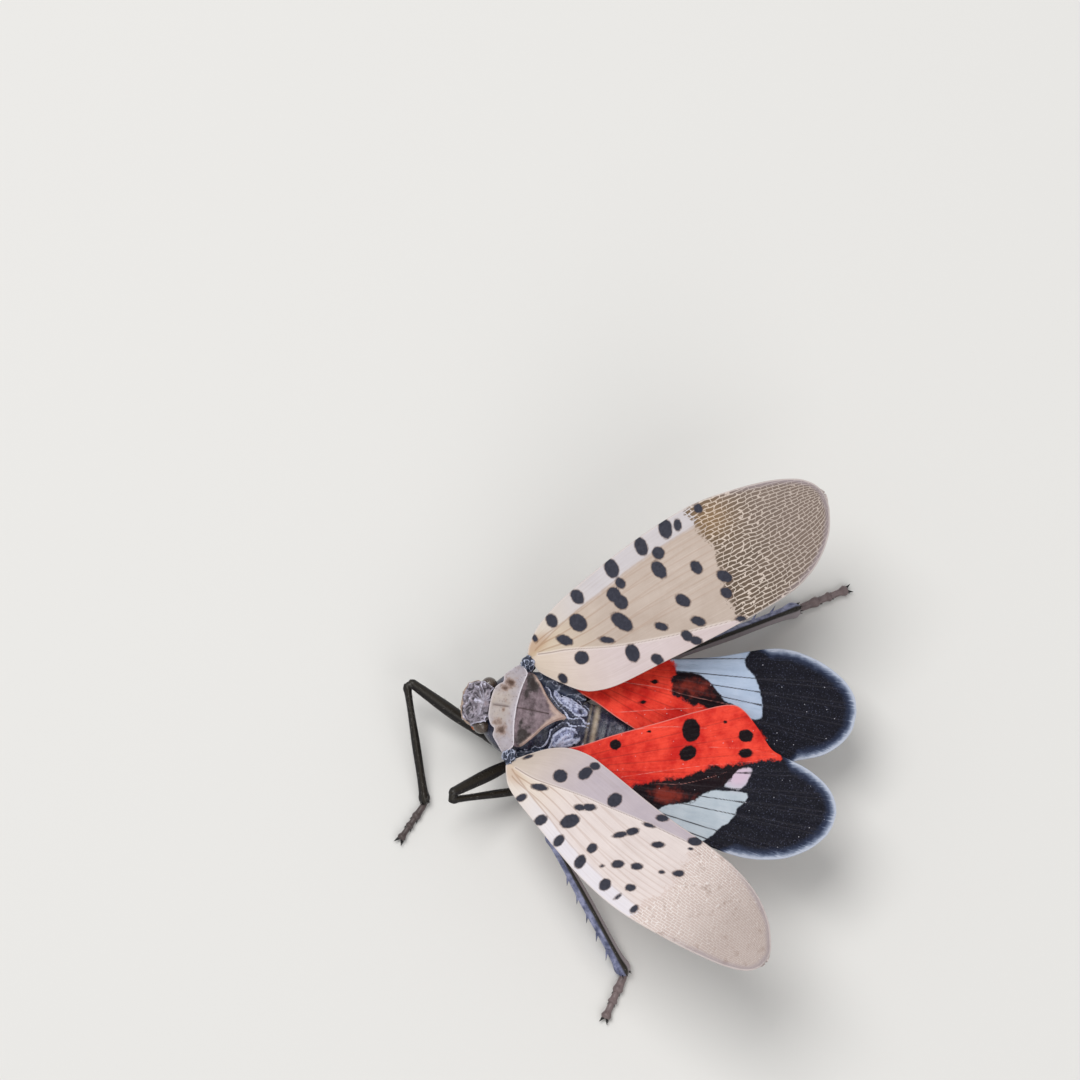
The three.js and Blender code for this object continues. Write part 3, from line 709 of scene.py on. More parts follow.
# Hinge knobs: small plates of hard blue-black cuticle, wrinkled and dusted with wax.
# One sits on each shoulder and covers the root of the forewing.
HINGE_KNOB_CENTRE = [3.0, 0.2, 5.68]
HINGE_KNOB_SIZE = [0.5, 0.4, 0.34]
HINGE_KNOB_ROWS = 60


def paint_knob(tree):
    """Blue-black with white wax on the crests."""
    dark = cloudy(tree, "12141d", "39435c", 3000.0)
    crumbs = ragged(tree, "crest", 8000.0)
    return over(tree, step(tree, crumbs, 0.3, 1.0), dark, "b9bfd4"), speckle(tree, 9000.0)


knob_finish = finish("knob cuticle", paint_knob, 0.03, (0.3, 0.6))
for side, way in SIDES.items():
    skin, along, turn, open_ring = wrap(HINGE_KNOB_ROWS, HINGE_KNOB_ROWS)
    ball = on_ball(along, turn, open_ring)
    points = np.array(HINGE_KNOB_CENTRE) * [way, 1, 1] + ball * HINGE_KNOB_SIZE
    folds = rough(points * [1, 1.6, 1], 3.4, 5.0 * way) ** 3
    points = points + ball * (0.14 * folds - 0.05)[:, None]
    assemble(f"hinge_knob_{side}", skin, points, knob_finish, "thorax", [f"tegula_{side}"], crest=folds)

# Hinge membranes: soft dark folds of skin, dusted with wax, between the back and each wing root.
# Each runs back from the hinge knob and fills the corner between the two wings of its side.
HINGE_MEMBRANES = {
    "left": ([2.6, 0.5, 4.95], [2.1, 2.9, 4.6]),
    "right": ([-2.6, 0.5, 4.85], [-1.68, 4.2, 4.55]),
}
MEMBRANE_PROFILE = [[0, 0.12], [0.15, 0.36], [0.5, 0.42], [0.85, 0.3], [1, 0.08]]
MEMBRANE_ROWS = 90
MEMBRANE_SIDES = 48
for side, (start, end) in HINGE_MEMBRANES.items():
    line = Vector(end) - Vector(start)
    profile = [[part * line.length, radius] for part, radius in MEMBRANE_PROFILE]
    skin, points, _, _ = stalk(
        profile, start, line, MEMBRANE_ROWS, MEMBRANE_SIDES, flatness=0.6, up=(1, 0, 0),
    )
    folds = rough(points * [1, 0.7, 1], 2.6, 9.0) ** 3
    points[:, 2] += 0.16 * folds * np.clip(points[:, 2] - 4.5, 0, 1)
    assemble(
        f"hinge_membrane_{side}", skin, points, knob_finish, "thorax", [f"tegula_{side}"],
        crest=folds * 0.7,
    )

# Forewings: leathery tan sheets with raised veins, dark round spots, and a fine net over the outer third.
# A pale strip runs along the front edge, and a seam parts off the pinkish strip along the rear edge.
FOREWING_THICKNESS = 0.09
FOREWING_COLUMNS = 104
FOREWING_ROWS = 250
FOREWING_HINGE = [3.45, 0.1, 5.65]
FOREWING_RISE = 18
FOREWING_ROLL = 7
FOREWING_CAMBER = 0.5
VEIN_RIDGE = 0.014
FRONT_EDGE_RIDGE = 0.08
NET_START = 13.4
NET_ROWS = 30
NET_WIDTH = 7.6
NET_LINE = 0.17
FOREWINGS = {
    # Lines are drawn flat in millimetres from the hinge: towards the front edge, then towards the tip.
    # The suture is the seam before the rear strip, and the subcosta the vein behind the pale front strip.
    # A spot is its middle, half length, half width and angle, and angles are in degrees.
    # Each pair of paints is mixed in soft clouds; fleck, amber and stem say how strong a stain is.
    "left": {
        "way": 1,
        "sweep": 30,
        "front": [
            [0.15, 0.1], [0.55, 0.5], [1.1, 1.2], [1.5, 2.3], [1.85, 3.8], [2.4, 6.2], [2.95, 9.2],
            [3.1, 12.4], [2.6, 16.2], [2.0, 19.0], [1.55, 20.3], [1.05, 21.1], [0.5, 21.45], [0.1, 21.5],
        ],
        "rear": [
            [-0.35, 0.1], [-0.8, 0.35], [-1.7, 0.85], [-2.6, 1.5], [-3.3, 2.4], [-3.7, 3.7], [-3.72, 5.2],
            [-3.6, 8.6], [-3.6, 10.8], [-3.72, 13.6], [-3.6, 16.0], [-3.1, 18.1], [-2.2, 19.8], [-1.3, 20.8],
            [-0.7, 21.3], [-0.1, 21.5],
        ],
        "suture": [
            [-0.1, 0.7], [-0.2, 2.1], [-0.6, 3.5], [-1.25, 5.6], [-1.6, 7.0], [-2.3, 9.5], [-3.0, 12.4],
        ],
        "subcosta": [
            [0.1, 0.6], [0.3, 1.2], [0.73, 2.8], [1.13, 4.6], [1.6, 6.5], [1.95, 8.6], [2.13, 10.6],
            [2.2, 13.4],
        ],
        "spots": [
            [-1.17, 0.78, 0.3, 0.13, 152], [-1.38, 3.35, 0.47, 0.44, 71], [-2.53, 4.4, 0.52, 0.36, 5],
            [-3.31, 4.46, 0.31, 0.29, 108], [-2.29, 7.09, 0.53, 0.42, 18], [-3.3, 10.11, 0.39, 0.26, 127],
            [-3.37, 12.74, 0.45, 0.31, 127], [0.0, 2.87, 0.51, 0.22, 117], [1.2, 2.4, 0.35, 0.23, 153],
            [1.58, 4.39, 0.41, 0.33, 155], [-0.89, 6.27, 0.43, 0.24, 128], [-0.51, 5.81, 0.36, 0.21, 116],
            [0.56, 5.95, 0.61, 0.44, 147], [1.92, 6.23, 0.4, 0.29, 174], [-2.32, 9.88, 0.36, 0.13, 112],
            [-1.33, 9.46, 0.41, 0.26, 147], [-0.67, 9.03, 0.45, 0.2, 140], [-1.65, 11.26, 0.41, 0.22, 128],
            [1.08, 8.28, 0.33, 0.29, 174], [2.18, 8.24, 0.43, 0.34, 10], [1.58, 9.56, 0.14, 0.09, 127],
            [0.9, 10.26, 0.38, 0.26, 127], [0.29, 11.29, 0.35, 0.24, 127], [-0.39, 12.73, 0.18, 0.13, 126],
            [-0.98, 13.58, 0.35, 0.22, 128], [2.37, 10.49, 0.39, 0.35, 177], [1.58, 11.9, 0.33, 0.22, 127],
            [2.47, 11.64, 0.24, 0.1, 165], [2.46, 12.98, 0.3, 0.2, 168], [-2.79, 12.94, 0.16, 0.1, 128],
        ],
        "corium": ("e8dcd7", "cfc0bc"),
        "clavus": ("a99ea8", "cdc0c4"),
        "strip": ("d5d0d8", "e6dfe0"),
        "cell": ("c2ada5", "ddccc4"),
        "line": "eae0db",
        "net_scale": 1.45,
        "fleck": 0.5,
        "amber": 0.0,
        "stem": 0.35,
    },
    "right": {
        "way": -1,
        "sweep": 38,
        "front": [
            [0.15, 0.1], [0.6, 0.5], [1.3, 1.5], [1.8, 2.8], [2.2, 4.3], [2.8, 7.6], [3.15, 10.6],
            [3.25, 13.6], [2.85, 16.2], [2.25, 18.5], [1.55, 20.05], [0.95, 20.75], [0.4, 21.08],
            [-0.1, 21.2],
        ],
        "rear": [
            [-0.35, 0.1], [-1.26, 0.24], [-2.57, 1.16], [-3.5, 2.0], [-3.98, 2.9], [-4.29, 4.3],
            [-4.42, 7.2], [-4.55, 10.1], [-4.6, 12.9], [-4.5, 16.2], [-4.1, 17.9], [-3.4, 19.2],
            [-2.4, 20.3], [-1.3, 20.95], [-0.75, 21.13], [-0.2, 21.2],
        ],
        "suture": [
            [-0.2, 0.7], [-0.47, 1.4], [-0.9, 2.6], [-2.1, 5.2], [-3.05, 8.0], [-3.73, 10.4], [-4.2, 12.2],
        ],
        "subcosta": [
            [0.1, 0.65], [0.35, 1.5], [0.62, 2.5], [1.0, 4.3], [1.28, 6.1], [1.63, 8.3], [1.9, 10.75],
            [2.05, 13.4],
        ],
        "spots": [
            [0.74, 0.99, 0.24, 0.16, 9], [1.21, 2.46, 0.44, 0.35, 173], [1.72, 4.6, 0.51, 0.36, 163],
            [2.22, 7.34, 0.6, 0.43, 3], [2.51, 9.63, 0.6, 0.39, 4], [2.75, 11.49, 0.62, 0.42, 14],
            [2.57, 12.28, 0.37, 0.24, 19], [1.16, 7.41, 0.37, 0.29, 168], [1.64, 10.41, 0.4, 0.36, 156],
            [0.71, 9.95, 0.61, 0.4, 168], [-0.3, 12.09, 0.45, 0.33, 168], [0.29, 3.88, 0.61, 0.49, 162],
            [0.72, 6.7, 0.48, 0.43, 166], [0.11, 6.89, 0.51, 0.4, 168], [-1.0, 6.35, 0.79, 0.43, 155],
            [-0.25, 2.62, 0.53, 0.29, 138], [-1.51, 4.95, 0.49, 0.2, 128], [-2.43, 8.37, 0.43, 0.24, 133],
            [-3.25, 10.53, 0.47, 0.27, 138], [-1.68, 10.35, 0.51, 0.34, 148], [-1.62, 13.35, 0.5, 0.34, 143],
            [-2.57, 12.94, 0.4, 0.31, 158], [-1.72, 3.03, 0.45, 0.41, 116], [-2.27, 1.33, 0.34, 0.27, 167],
            [-3.0, 5.96, 0.57, 0.43, 9], [-4.06, 7.1, 0.4, 0.31, 147], [-3.71, 9.47, 0.4, 0.29, 158],
            [-4.22, 9.81, 0.4, 0.26, 138], [2.84, 13.9, 0.31, 0.26, 178], [-4.38, 12.91, 0.31, 0.17, 119],
        ],
        "corium": ("ab988a", "cbbcb1"),
        "clavus": ("c4b2b1", "dacccb"),
        "strip": ("bbb4b7", "d0cacb"),
        "cell": ("4e4135", "776657"),
        "line": "d2c3b6",
        "net_scale": 1.0,
        "fleck": 0.0,
        "amber": 0.45,
        "stem": 0.5,
    },
}
LONG_VEINS = [0.36, 0.47, 0.58, 0.69, 0.79]
FORK_PLACE = 0.3
FORK_SPREAD = 0.028


def along_edge(points, places):
    """Points along a smooth edge, at equal parts of its length."""
    line = bent(points, 16)
    lengths = np.concatenate([[0], np.cumsum(np.linalg.norm(np.diff(line, axis=0), axis=1))])
    return np.stack([np.interp(places * lengths[-1], lengths, line[:, axis]) for axis in (0, 1)], axis=1)


def to_spots(points, spots):
    """Distance from the nearest oval spot, negative inside it."""
    best = np.full(len(points), 9.0)
    for x, y, length, width, angle in spots:
        turned = math.radians(angle)
        ahead = (points[:, 0] - x) * math.cos(turned) + (points[:, 1] - y) * math.sin(turned)
        beside = (points[:, 1] - y) * math.cos(turned) - (points[:, 0] - x) * math.sin(turned)
        best = np.minimum(best, (np.hypot(ahead / length, beside / width) - 1) * width)
    return best


def set_wing(flat, height, hinge, way, rise, roll, sweep):
    """Turns a wing drawn flat into its place on the body; X is towards the front edge, Y to the tip."""
    turned = (
        Matrix.Rotation(math.radians(-way * sweep), 3, "Z")
        @ Matrix.Rotation(math.radians(rise), 3, "X")
        @ Matrix.Rotation(math.radians(-way * roll), 3, "Y")
    )
    drawn = np.stack([flat[:, 0] * way, flat[:, 1], height], axis=1)
    return drawn @ np.array(turned).T + np.array(hinge) * [way, 1, 1]


def paint_net(tree, plan):
    """Dark bars in rows along the wing, parted by pale lines that wander, paler towards the tip."""
    row = node(tree, "Math", {0: mark_of(tree, "mesh_across")}, operation="FLOOR").outputs[0]
    drift = node(tree, "TexNoise", {"W": times(tree, row, 0.37), "Scale": 1.0}, noise_dimensions="1D")
    start = sum_of(tree, mark_of(tree, "mesh_along"), times(tree, drift.outputs["Fac"], 6.0))
    place = node(tree, "CombineXYZ", {
        "X": jitter(tree, jitter(tree, start, 500.0, 1.6), 2500.0, 0.4),
        "Y": jitter(tree, mark_of(tree, "mesh_across"), 700.0, 0.4),
    }).outputs[0]
    bricks = node(tree, "TexBrick", {
        "Vector": place, "Scale": 1.0, "Mortar Size": NET_LINE, "Mortar Smooth": 0.5, "Brick Width": 2.1,
        "Row Height": 1.0,
    }, offset=0.3, offset_frequency=2)
    lines = bricks.outputs["Fac"]
    far = step(tree, mark_of(tree, "mesh_along"), 4.0, 28.0 * plan["net_scale"])
    cell = cloudy(tree, *plan["cell"], 900.0, 4.0)
    cell = over(tree, times(tree, far, 0.5), cell, "8a7a72")
    line = over(tree, times(tree, far, 0.6), plan["line"], "a5968e")
    netted = over(tree, lines, cell, line)
    amber = times(tree, mark_of(tree, "amber"), plan["amber"])
    golden = over(tree, times(tree, amber, 0.6), netted, "b48a52")
    patchy = step(tree, speckle(tree, 1700.0, 5.0), 0.55, 0.72, 0.0, plan["fleck"])
    return over(tree, patchy, golden, "8d7467"), lines


def paint_forewing(tree, plan):
    """The wing's fields, its fine veins, the net, and the spots with their brown rims."""
    cloud = speckle(tree, 500.0, 6.0, 0.65)
    corium, clavus, strip = (over(tree, cloud, *plan[part]) for part in ("corium", "clavus", "strip"))
    parted = over(tree, step(tree, mark_of(tree, "clavus"), -0.05, 0.05), corium, clavus)
    in_strip = step(tree, jitter(tree, mark_of(tree, "strip"), 1500.0, 0.1), -0.15, 0.15)
    field = over(tree, in_strip, parted, strip)
    creamed = over(tree, step(tree, mark_of(tree, "along"), 0.02, 0.3, 0.5, 0.0), field, "ddcba9")
    stem = step(tree, mark_of(tree, "stem"), 0.1, 1.0, 0.0, plan["stem"])
    stained = over(tree, stem, creamed, "a8743f")
    grain = node(tree, "CombineXYZ", {
        "X": times(tree, mark_of(tree, "across"), 210.0),
        "Y": times(tree, mark_of(tree, "along"), 10.0),
    }).outputs[0]
    streak = speckle(tree, 0.5, 5.0, 0.65, grain)
    grained = over(tree, step(tree, streak, 0.45, 0.8, 0.0, 0.3), stained, "a08d7b")
    lightened = over(tree, step(tree, streak, 0.45, 0.25, 0.0, 0.2), grained, "ece2da")
    vein = step(tree, mark_of(tree, "vein"), 0.015, 0.07, 1.0, 0.0)
    strength = step(tree, mark_of(tree, "along"), 0.1, 0.4, 0.5, 0.2)
    veined = over(tree, times(tree, vein, strength), lightened, "a07c62")
    seam = step(tree, mark_of(tree, "seam"), 0.015, 0.05, 0.6, 0.0)
    beside = step(tree, mark_of(tree, "seam"), 0.05, 0.16, 0.5, 0.0)
    seamed = over(tree, seam, over(tree, beside, veined, "e3d8d2"), "8b7770")
    netted, lines = paint_net(tree, plan)
    fade_in = sum_of(tree, mark_of(tree, "net"), times(tree, lines, -0.35))
    patch = jitter(tree, fade_in, 1600.0, 0.4)
    whole = over(tree, step(tree, patch, -0.2, 0.15), seamed, netted)
    edge_band = step(tree, jitter(tree, mark_of(tree, "edge"), 1500.0, 0.06), 0.1, 0.45, 0.65, 0.0)
    tipped = over(tree, times(tree, edge_band, mark_of(tree, "tip_zone")), whole, "9b8f94")
    rim = step(tree, mark_of(tree, "edge"), 0.04, 0.12, 0.6, 0.0)
    rimmed = over(tree, rim, tipped, "d8ccc6")
    spot = jitter(tree, mark_of(tree, "spot"), 4200.0, 0.035)
    ink = cloudy(tree, "202029", "42434f", 5000.0, 4.0)
    haloed = over(tree, step(tree, spot, 0.0, 0.08, 0.65, 0.0), rimmed, "5f4a42")
    spotted = over(tree, step(tree, spot, -0.04, 0.02, 1.0, 0.0), haloed, ink)
    net_height = times(tree, lines, step(tree, patch, -0.2, 0.2))
    height = sum_of(tree, times(tree, vein, 0.4), net_height)
    return spotted, sum_of(tree, height, times(tree, streak, 0.2))


def make_forewing(side, plan):
    blank, across, along = sheet(FOREWING_COLUMNS, FOREWING_ROWS)
    front = along_edge(plan["front"], along)
    rear = along_edge(plan["rear"], along)
    flat = rear + (front - rear) * across[:, None]
    span = np.linalg.norm(front - rear, axis=1)
    reach = flat[:, 1]
    suture = bent(plan["suture"] + [[plan["suture"][-1][0] - 0.8, 14.5]])
    subcosta = bent(plan["subcosta"])
    behind = np.interp(reach, suture[:, 1], suture[:, 0]) - flat[:, 0]
    ahead = flat[:, 0] - np.interp(reach, subcosta[:, 1], subcosta[:, 0])
    arch = FOREWING_CAMBER * 4 * across * (1 - across) * (0.3 + 0.7 * np.sin(math.pi * along))
    arch = arch * np.clip(span / 4, 0, 1)
    fork = FORK_SPREAD * np.clip((along - FORK_PLACE) * 4, 0, 1)
    seam = to_line(flat, bent(plan["suture"]))
    vein = np.minimum(seam, to_line(flat, subcosta))
    for place in LONG_VEINS:
        branch = np.abs(np.abs(across - place) - fork) * span
        vein = np.minimum(vein, branch + 0.6 * (behind > -0.08) + 0.3 * (along < 0.05))
    edge = to_line(flat, bent(plan["front"] + plan["rear"][::-1], 4))
    ridge = bump_at(vein, 0.06) * (1 - 0.8 * np.clip((along - 0.58) * 10, 0, 1))
    thick_edge = bump_at((1 - across) * span, 0.16) * (1 - along * 0.8) * np.clip(span / 2, 0, 1)
    sag = 0.006 * np.sin(across * 40 + 2 * along) * np.clip(along * 4, 0, 1)
    height = arch + VEIN_RIDGE * ridge + FRONT_EDGE_RIDGE * thick_edge + sag + FOREWING_THICKNESS / 2
    points = set_wing(
        flat, height, FOREWING_HINGE, plan["way"], FOREWING_RISE, FOREWING_ROLL, plan["sweep"],
    )
    net_line = NET_START + 0.25 * np.cos(flat[:, 0] * 1.2) - 0.14 * np.clip(-flat[:, 0] - 1.5, 0, 4) ** 1.5
    stem = bump_at(np.hypot((flat[:, 0] - 0.25 - 0.15 * reach) * 2.4, reach - 0.8), 1.3)
    amber = bump_at(np.hypot((flat[:, 0] - 1.9) / 1.3, (reach - 14.2) / 1.5), 1.0)
    cell = np.clip(reach - NET_START + 1.5, 0, None)
    row = 0.45 * across + 0.55 * (flat[:, 0] + 0.01 * (reach - 14) ** 2) / NET_WIDTH
    material = finish(
        f"forewing {side} membrane", lambda tree: paint_forewing(tree, plan), 0.015, (0.45, 0.7),
        Specular_IOR_Level=0.15,
    )
    made = assemble(
        f"forewing_sheet_{side}", blank, points, material, "forewing", [f"forewing_{side}"],
        across=across, along=along, vein=vein, edge=edge, clavus=behind, strip=ahead, stem=stem,
        net=reach - net_line, spot=to_spots(flat, plan["spots"]), seam=seam, amber=amber,
        tip_zone=np.clip((reach - 15) / 3, 0, 1), mesh_across=NET_ROWS * plan["net_scale"] * row,
        mesh_along=(cell * 3.0 + cell ** 2 * 0.13) * plan["net_scale"],
    )
    thicken(made, FOREWING_THICKNESS)


for side, plan in FOREWINGS.items():
    make_forewing(side, plan)

# Hindwings: thin pleated membranes, red at the root with black spots, then white, then black.
# Dark veins cross the white, pale ones the black, and a bluish-white fringe edges the tip.
HINDWING_THICKNESS = 0.05
HINDWING_COLUMNS = 124
HINDWING_ROWS = 236
HINDWING_CAMBER = 0.12
FAN_PIVOT = [0.9, -1.0]
FAN_VEINS = [-24, -19, -14, -9.2, -4.8, -1.4, 2.2, 7.8, 11]
FAN_FORK = 0.45
PLEAT_WIDTH = 3.4
HINDWINGS = {
    # Lines, spots and angles are given as for the forewings.
    "left": {
        "way": 1,
        "hinge": [2.6, 2.4, 4.93],
        "rise": 8,
        "sweep": 0,
        "front": [
            [0.5, 0.1], [1.5, 2], [2.7, 6], [3.3, 9.6], [3.85, 12.2], [3.95, 14.0], [3.6, 15.7], [2.9, 17.0],
            [2.0, 17.9], [1.2, 18.3], [0.5, 18.42],
        ],
        "rear": [
            [-0.6, 0.1], [-1.25, 2.0], [-2.3, 4.0], [-3.6, 6.7], [-4.6, 8.7], [-5.35, 10.5], [-5.25, 11.5],
            [-4.3, 12.6], [-3.1, 13.7], [-2.7, 14.6], [-2.3, 15.9], [-1.75, 17.0], [-1.1, 17.8],
            [-0.4, 18.25], [0.2, 18.42],
        ],
        "red": [
            [0.5, -0.5], [-1.2, 1.0], [-2.9, 4.3], [-4.8, 7.9], [-6.2, 10.8], [-4.3, 12.7], [-2.75, 14.3],
            [-2.45, 14.1], [-2.25, 13.44], [-1.83, 12.24], [-1.32, 10.41], [-0.64, 9.12], [0.15, 7.21],
            [0.66, 5.9], [1.4, 5.0], [2.2, 3.4], [1.8, 1.5],
        ],
        "stain": [
            [1.9, 4.9], [0.9, 5.5], [0.15, 6.9], [-0.64, 8.9], [-1.32, 10.3], [-1.7, 11.0], [-1.9, 12.3],
            [-1.3, 11.9], [-0.3, 11.3], [0.44, 10.1], [1.05, 9.5], [1.5, 8.0], [2.2, 7.0], [2.6, 5.9],
        ],
        "white": [
            [
                [-0.22, 11.25], [-0.73, 11.5], [-1.3, 11.8], [-1.65, 12.72], [-1.06, 12.75], [-0.27, 12.4],
                [-0.16, 11.65],
            ],
            [
                [2.3, 7.3], [1.6, 7.9], [1.15, 9.3], [0.5, 10.05], [0.12, 10.8], [-0.02, 12.72],
                [0.55, 12.7], [1.0, 12.35], [1.4, 12.3], [2.0, 11.95], [2.4, 11.5], [3.1, 10.95],
                [3.7, 9.8], [3.1, 7.4],
            ],
        ],
        "folds": [
            [
                [-0.7, 1.0], [-1.5, 2.3], [-2.09, 3.43], [-2.61, 4.6], [-3.11, 6.09], [-3.42, 7.61],
                [-3.65, 9.6],
            ],
            [[0.3, 4.9], [-0.6, 7.6], [-1.34, 10.0], [-1.97, 12.4], [-2.65, 14.16]],
            [[-2.5, 9.9], [-2.8, 12.25], [-2.79, 13.09], [-2.75, 14.1]],
            [[0.34, 7.06], [0.1, 8.6], [-0.52, 10.15], [-1.14, 11.3]],
        ],
        "rust": [0.9, 7.9],
        "spots": [
            [-1.69, 4.15, 0.36, 0.35, 31], [-3.37, 8.62, 0.78, 0.57, 12], [-1.9, 8.7, 0.57, 0.46, 137],
            [-4.24, 10.61, 0.13, 0.13, 26], [-3.6, 12.04, 0.47, 0.41, 97], [-2.51, 12.24, 0.45, 0.31, 99],
            [-2.86, 6.06, 0.13, 0.09, 99], [0.7, 4.2, 0.3, 0.14, 90],
        ],
    },
    "right": {
        "way": -1,
        "hinge": [2.95, 2.4, 4.5],
        "rise": 3.5,
        "sweep": 3,
        "front": [
            [0.5, 0.1], [1.2, 2], [1.85, 6], [2.43, 9.3], [3.3, 12.2], [3.5, 13.6], [3.3, 15.0],
            [2.75, 16.4], [1.98, 17.55], [1.1, 18.25], [0.2, 18.5],
        ],
        "rear": [
            [-0.6, 0.1], [-1.25, 2.0], [-2.3, 4.0], [-3.6, 6.7], [-4.6, 8.7], [-4.95, 10.4], [-4.8, 11.8],
            [-4.25, 13.2], [-3.75, 14.3], [-3.4, 15.3], [-2.83, 16.8], [-2.0, 17.8], [-1.1, 18.35],
            [-0.2, 18.5],
        ],
        "red": [
            [0.5, -0.5], [-1.2, 1.0], [-2.9, 4.3], [-4.8, 7.9], [-6.2, 10.8], [-4.3, 12.2], [-2.6, 13.2],
            [-1.9, 12.6], [-1.4, 11.4], [-0.9, 10.0], [-0.77, 8.86], [-0.64, 7.95], [-0.1, 6.9],
            [0.93, 7.0], [1.5, 6.95], [2.3, 6.4], [3.0, 5.5], [2.4, 3.4], [1.8, 1.5],
        ],
        "stain": [
            [0.95, 6.95], [1.2, 7.6], [1.15, 8.5], [0.5, 9.46], [-0.15, 10.2], [-0.7, 10.3], [-1.2, 10.9],
            [-1.7, 12.2], [-2.0, 12.0], [-1.4, 10.4], [-0.95, 9.0], [-0.6, 7.9], [0.02, 6.9],
        ],
        "white": [
            [
                [1.21, 7.0], [1.2, 8.4], [0.72, 9.3], [-0.2, 10.2], [-0.5, 10.95], [-1.2, 11.95],
                [-1.04, 12.67], [-0.3, 12.65], [0.6, 12.4], [1.5, 11.95], [2.04, 11.35], [2.5, 11.2],
                [3.2, 11.3], [2.9, 9.0], [2.6, 6.4], [2.0, 6.3], [1.6, 6.8],
            ],
        ],
        "folds": [
            [[-0.7, 1.0], [-1.5, 2.3], [-1.94, 3.13], [-1.35, 6.51], [-0.89, 9.01]],
            [[0.06, 2.47], [0.02, 6.07], [-0.25, 7.9], [-0.5, 10.87]],
        ],
        "rust": [0.3, 8.2],
        "spots": [
            [0.36, 5.81, 0.25, 0.14, 82], [-1.04, 5.25, 0.23, 0.13, 82],
            [-3.37, 8.62, 0.78, 0.57, 12], [-1.9, 8.7, 0.57, 0.46, 137], [-3.6, 12.04, 0.47, 0.41, 97],
        ],
    },
}


def paint_hindwing(tree):
    """Red, stained and white fields over a powdery black ground with fine rays, and a pale fringe."""
    grain = node(tree, "CombineXYZ", {
        "X": times(tree, mark_of(tree, "fan"), 3.2), "Y": times(tree, mark_of(tree, "reach"), 0.7),
    }).outputs[0]
    ray = step(tree, speckle(tree, 1.0, 3.0, 0.6, grain), 0.52, 0.7)
    black = cloudy(tree, "08070d", "171722", 1800.0, 4.0)
    powder = step(tree, speckle(tree, 11000.0, 2.0, 0.7), 0.56, 0.72, 0.0, 0.75)
    powdered = over(tree, powder, black, "4a4d60")
    dusted = over(tree, times(tree, ray, 0.2), powdered, "34313f")
    white_field = jitter(tree, mark_of(tree, "white"), 3500.0, 0.045)
    warm = cloudy(tree, "9ba6ac", "c8cdcf", 900.0, 5.0)
    cool = cloudy(tree, "94a6c0", "bcc9de", 900.0, 5.0)
    milk = over(tree, mark_of(tree, "cool"), warm, cool)
    streaked = over(tree, times(tree, ray, 0.3), milk, "90a3b4")
    tinted = over(tree, step(tree, mark_of(tree, "rosy"), 0.2, 0.9), streaked, "c9b3c3")
    whitened = over(tree, step(tree, white_field, -0.06, 0.05, 1.0, 0.0), dusted, tinted)
    stain_field = jitter(tree, jitter(tree, mark_of(tree, "stain"), 2200.0, 0.14), 7000.0, 0.05)
    rusty = jitter(tree, mark_of(tree, "rust"), 1600.0, 0.45)
    brown = over(tree, step(tree, rusty, 0.2, 1.2), "160a10", "7a2a20")
    stained = over(tree, step(tree, stain_field, -0.08, 0.08, 1.0, 0.0), whitened, brown)
    red_field = jitter(tree, jitter(tree, mark_of(tree, "red"), 1800.0, 0.2), 7000.0, 0.06)
    blood = over(tree, step(tree, speckle(tree, 700.0, 6.0, 0.65), 0.35, 0.65), "c3211b", "ea4634")
    ribbed = over(tree, times(tree, ray, 0.22), blood, "96140f")
    reddened = over(tree, step(tree, red_field, -0.14, 0.1, 1.0, 0.0), stained, ribbed)
    vein = step(tree, mark_of(tree, "vein"), 0.015, 0.06, 1.0, 0.0)
    in_white = step(tree, mark_of(tree, "white"), -0.05, 0.05, 0.9, 0.0)
    in_red = step(tree, mark_of(tree, "red"), -0.2, 0.0, 0.25, 0.0)
    dark_vein = times(tree, vein, sum_of(tree, in_white, in_red))
    dark_veined = over(tree, dark_vein, reddened, "1c1218")
    beyond = step(tree, mark_of(tree, "red"), 0.05, 0.3, 0.0, 0.05)
    pale_vein = times(tree, vein, times(tree, beyond, sum_of(tree, 1.0, in_white, "SUBTRACT")))
    veined = over(tree, pale_vein, dark_veined, "7f7a80")
    broken = step(tree, speckle(tree, 1500.0, 3.0), 0.35, 0.6, 0.1, 0.55)
    fold = times(tree, step(tree, mark_of(tree, "fold"), 0.01, 0.04, 1.0, 0.0), broken)
    creased = over(tree, fold, veined, "d8948c")
    spot = jitter(tree, mark_of(tree, "spot"), 4500.0, 0.045)
    spotted = over(tree, step(tree, spot, -0.05, 0.04, 1.0, 0.0), creased, "12070c")
    dust = node(tree, "TexVoronoi", {"Vector": place_of(tree), "Scale": 2100.0}).outputs["Distance"]
    specked = over(tree, step(tree, dust, 0.04, 0.085, 0.7, 0.0), spotted, "c3c2cc")
    comb = sum_of(tree, jitter(tree, mark_of(tree, "margin"), 2200.0, 0.06), times(tree, ray, -0.16))
    glow = over(tree, step(tree, comb, 0.35, 0.85, 0.75, 0.0), specked, "2f3850")
    fringed = over(tree, step(tree, comb, 0.16, 0.46, 1.0, 0.0), glow, "707a90")
    edged = over(tree, step(tree, comb, 0.04, 0.27, 1.0, 0.0), fringed, "b2b8c6")
    inner_rim = step(tree, mark_of(tree, "inner_edge"), 0.03, 0.09, 0.75, 0.0)
    rimmed = over(tree, inner_rim, edged, "d8857d")
    crests = times(tree, sum_of(tree, vein, fold), 0.35)
    return rimmed, sum_of(tree, crests, times(tree, ray, speckle(tree, 9000.0)))


hindwing_finish = finish("hindwing membrane", paint_hindwing, 0.015, (0.4, 0.65), Specular_IOR_Level=0.08)


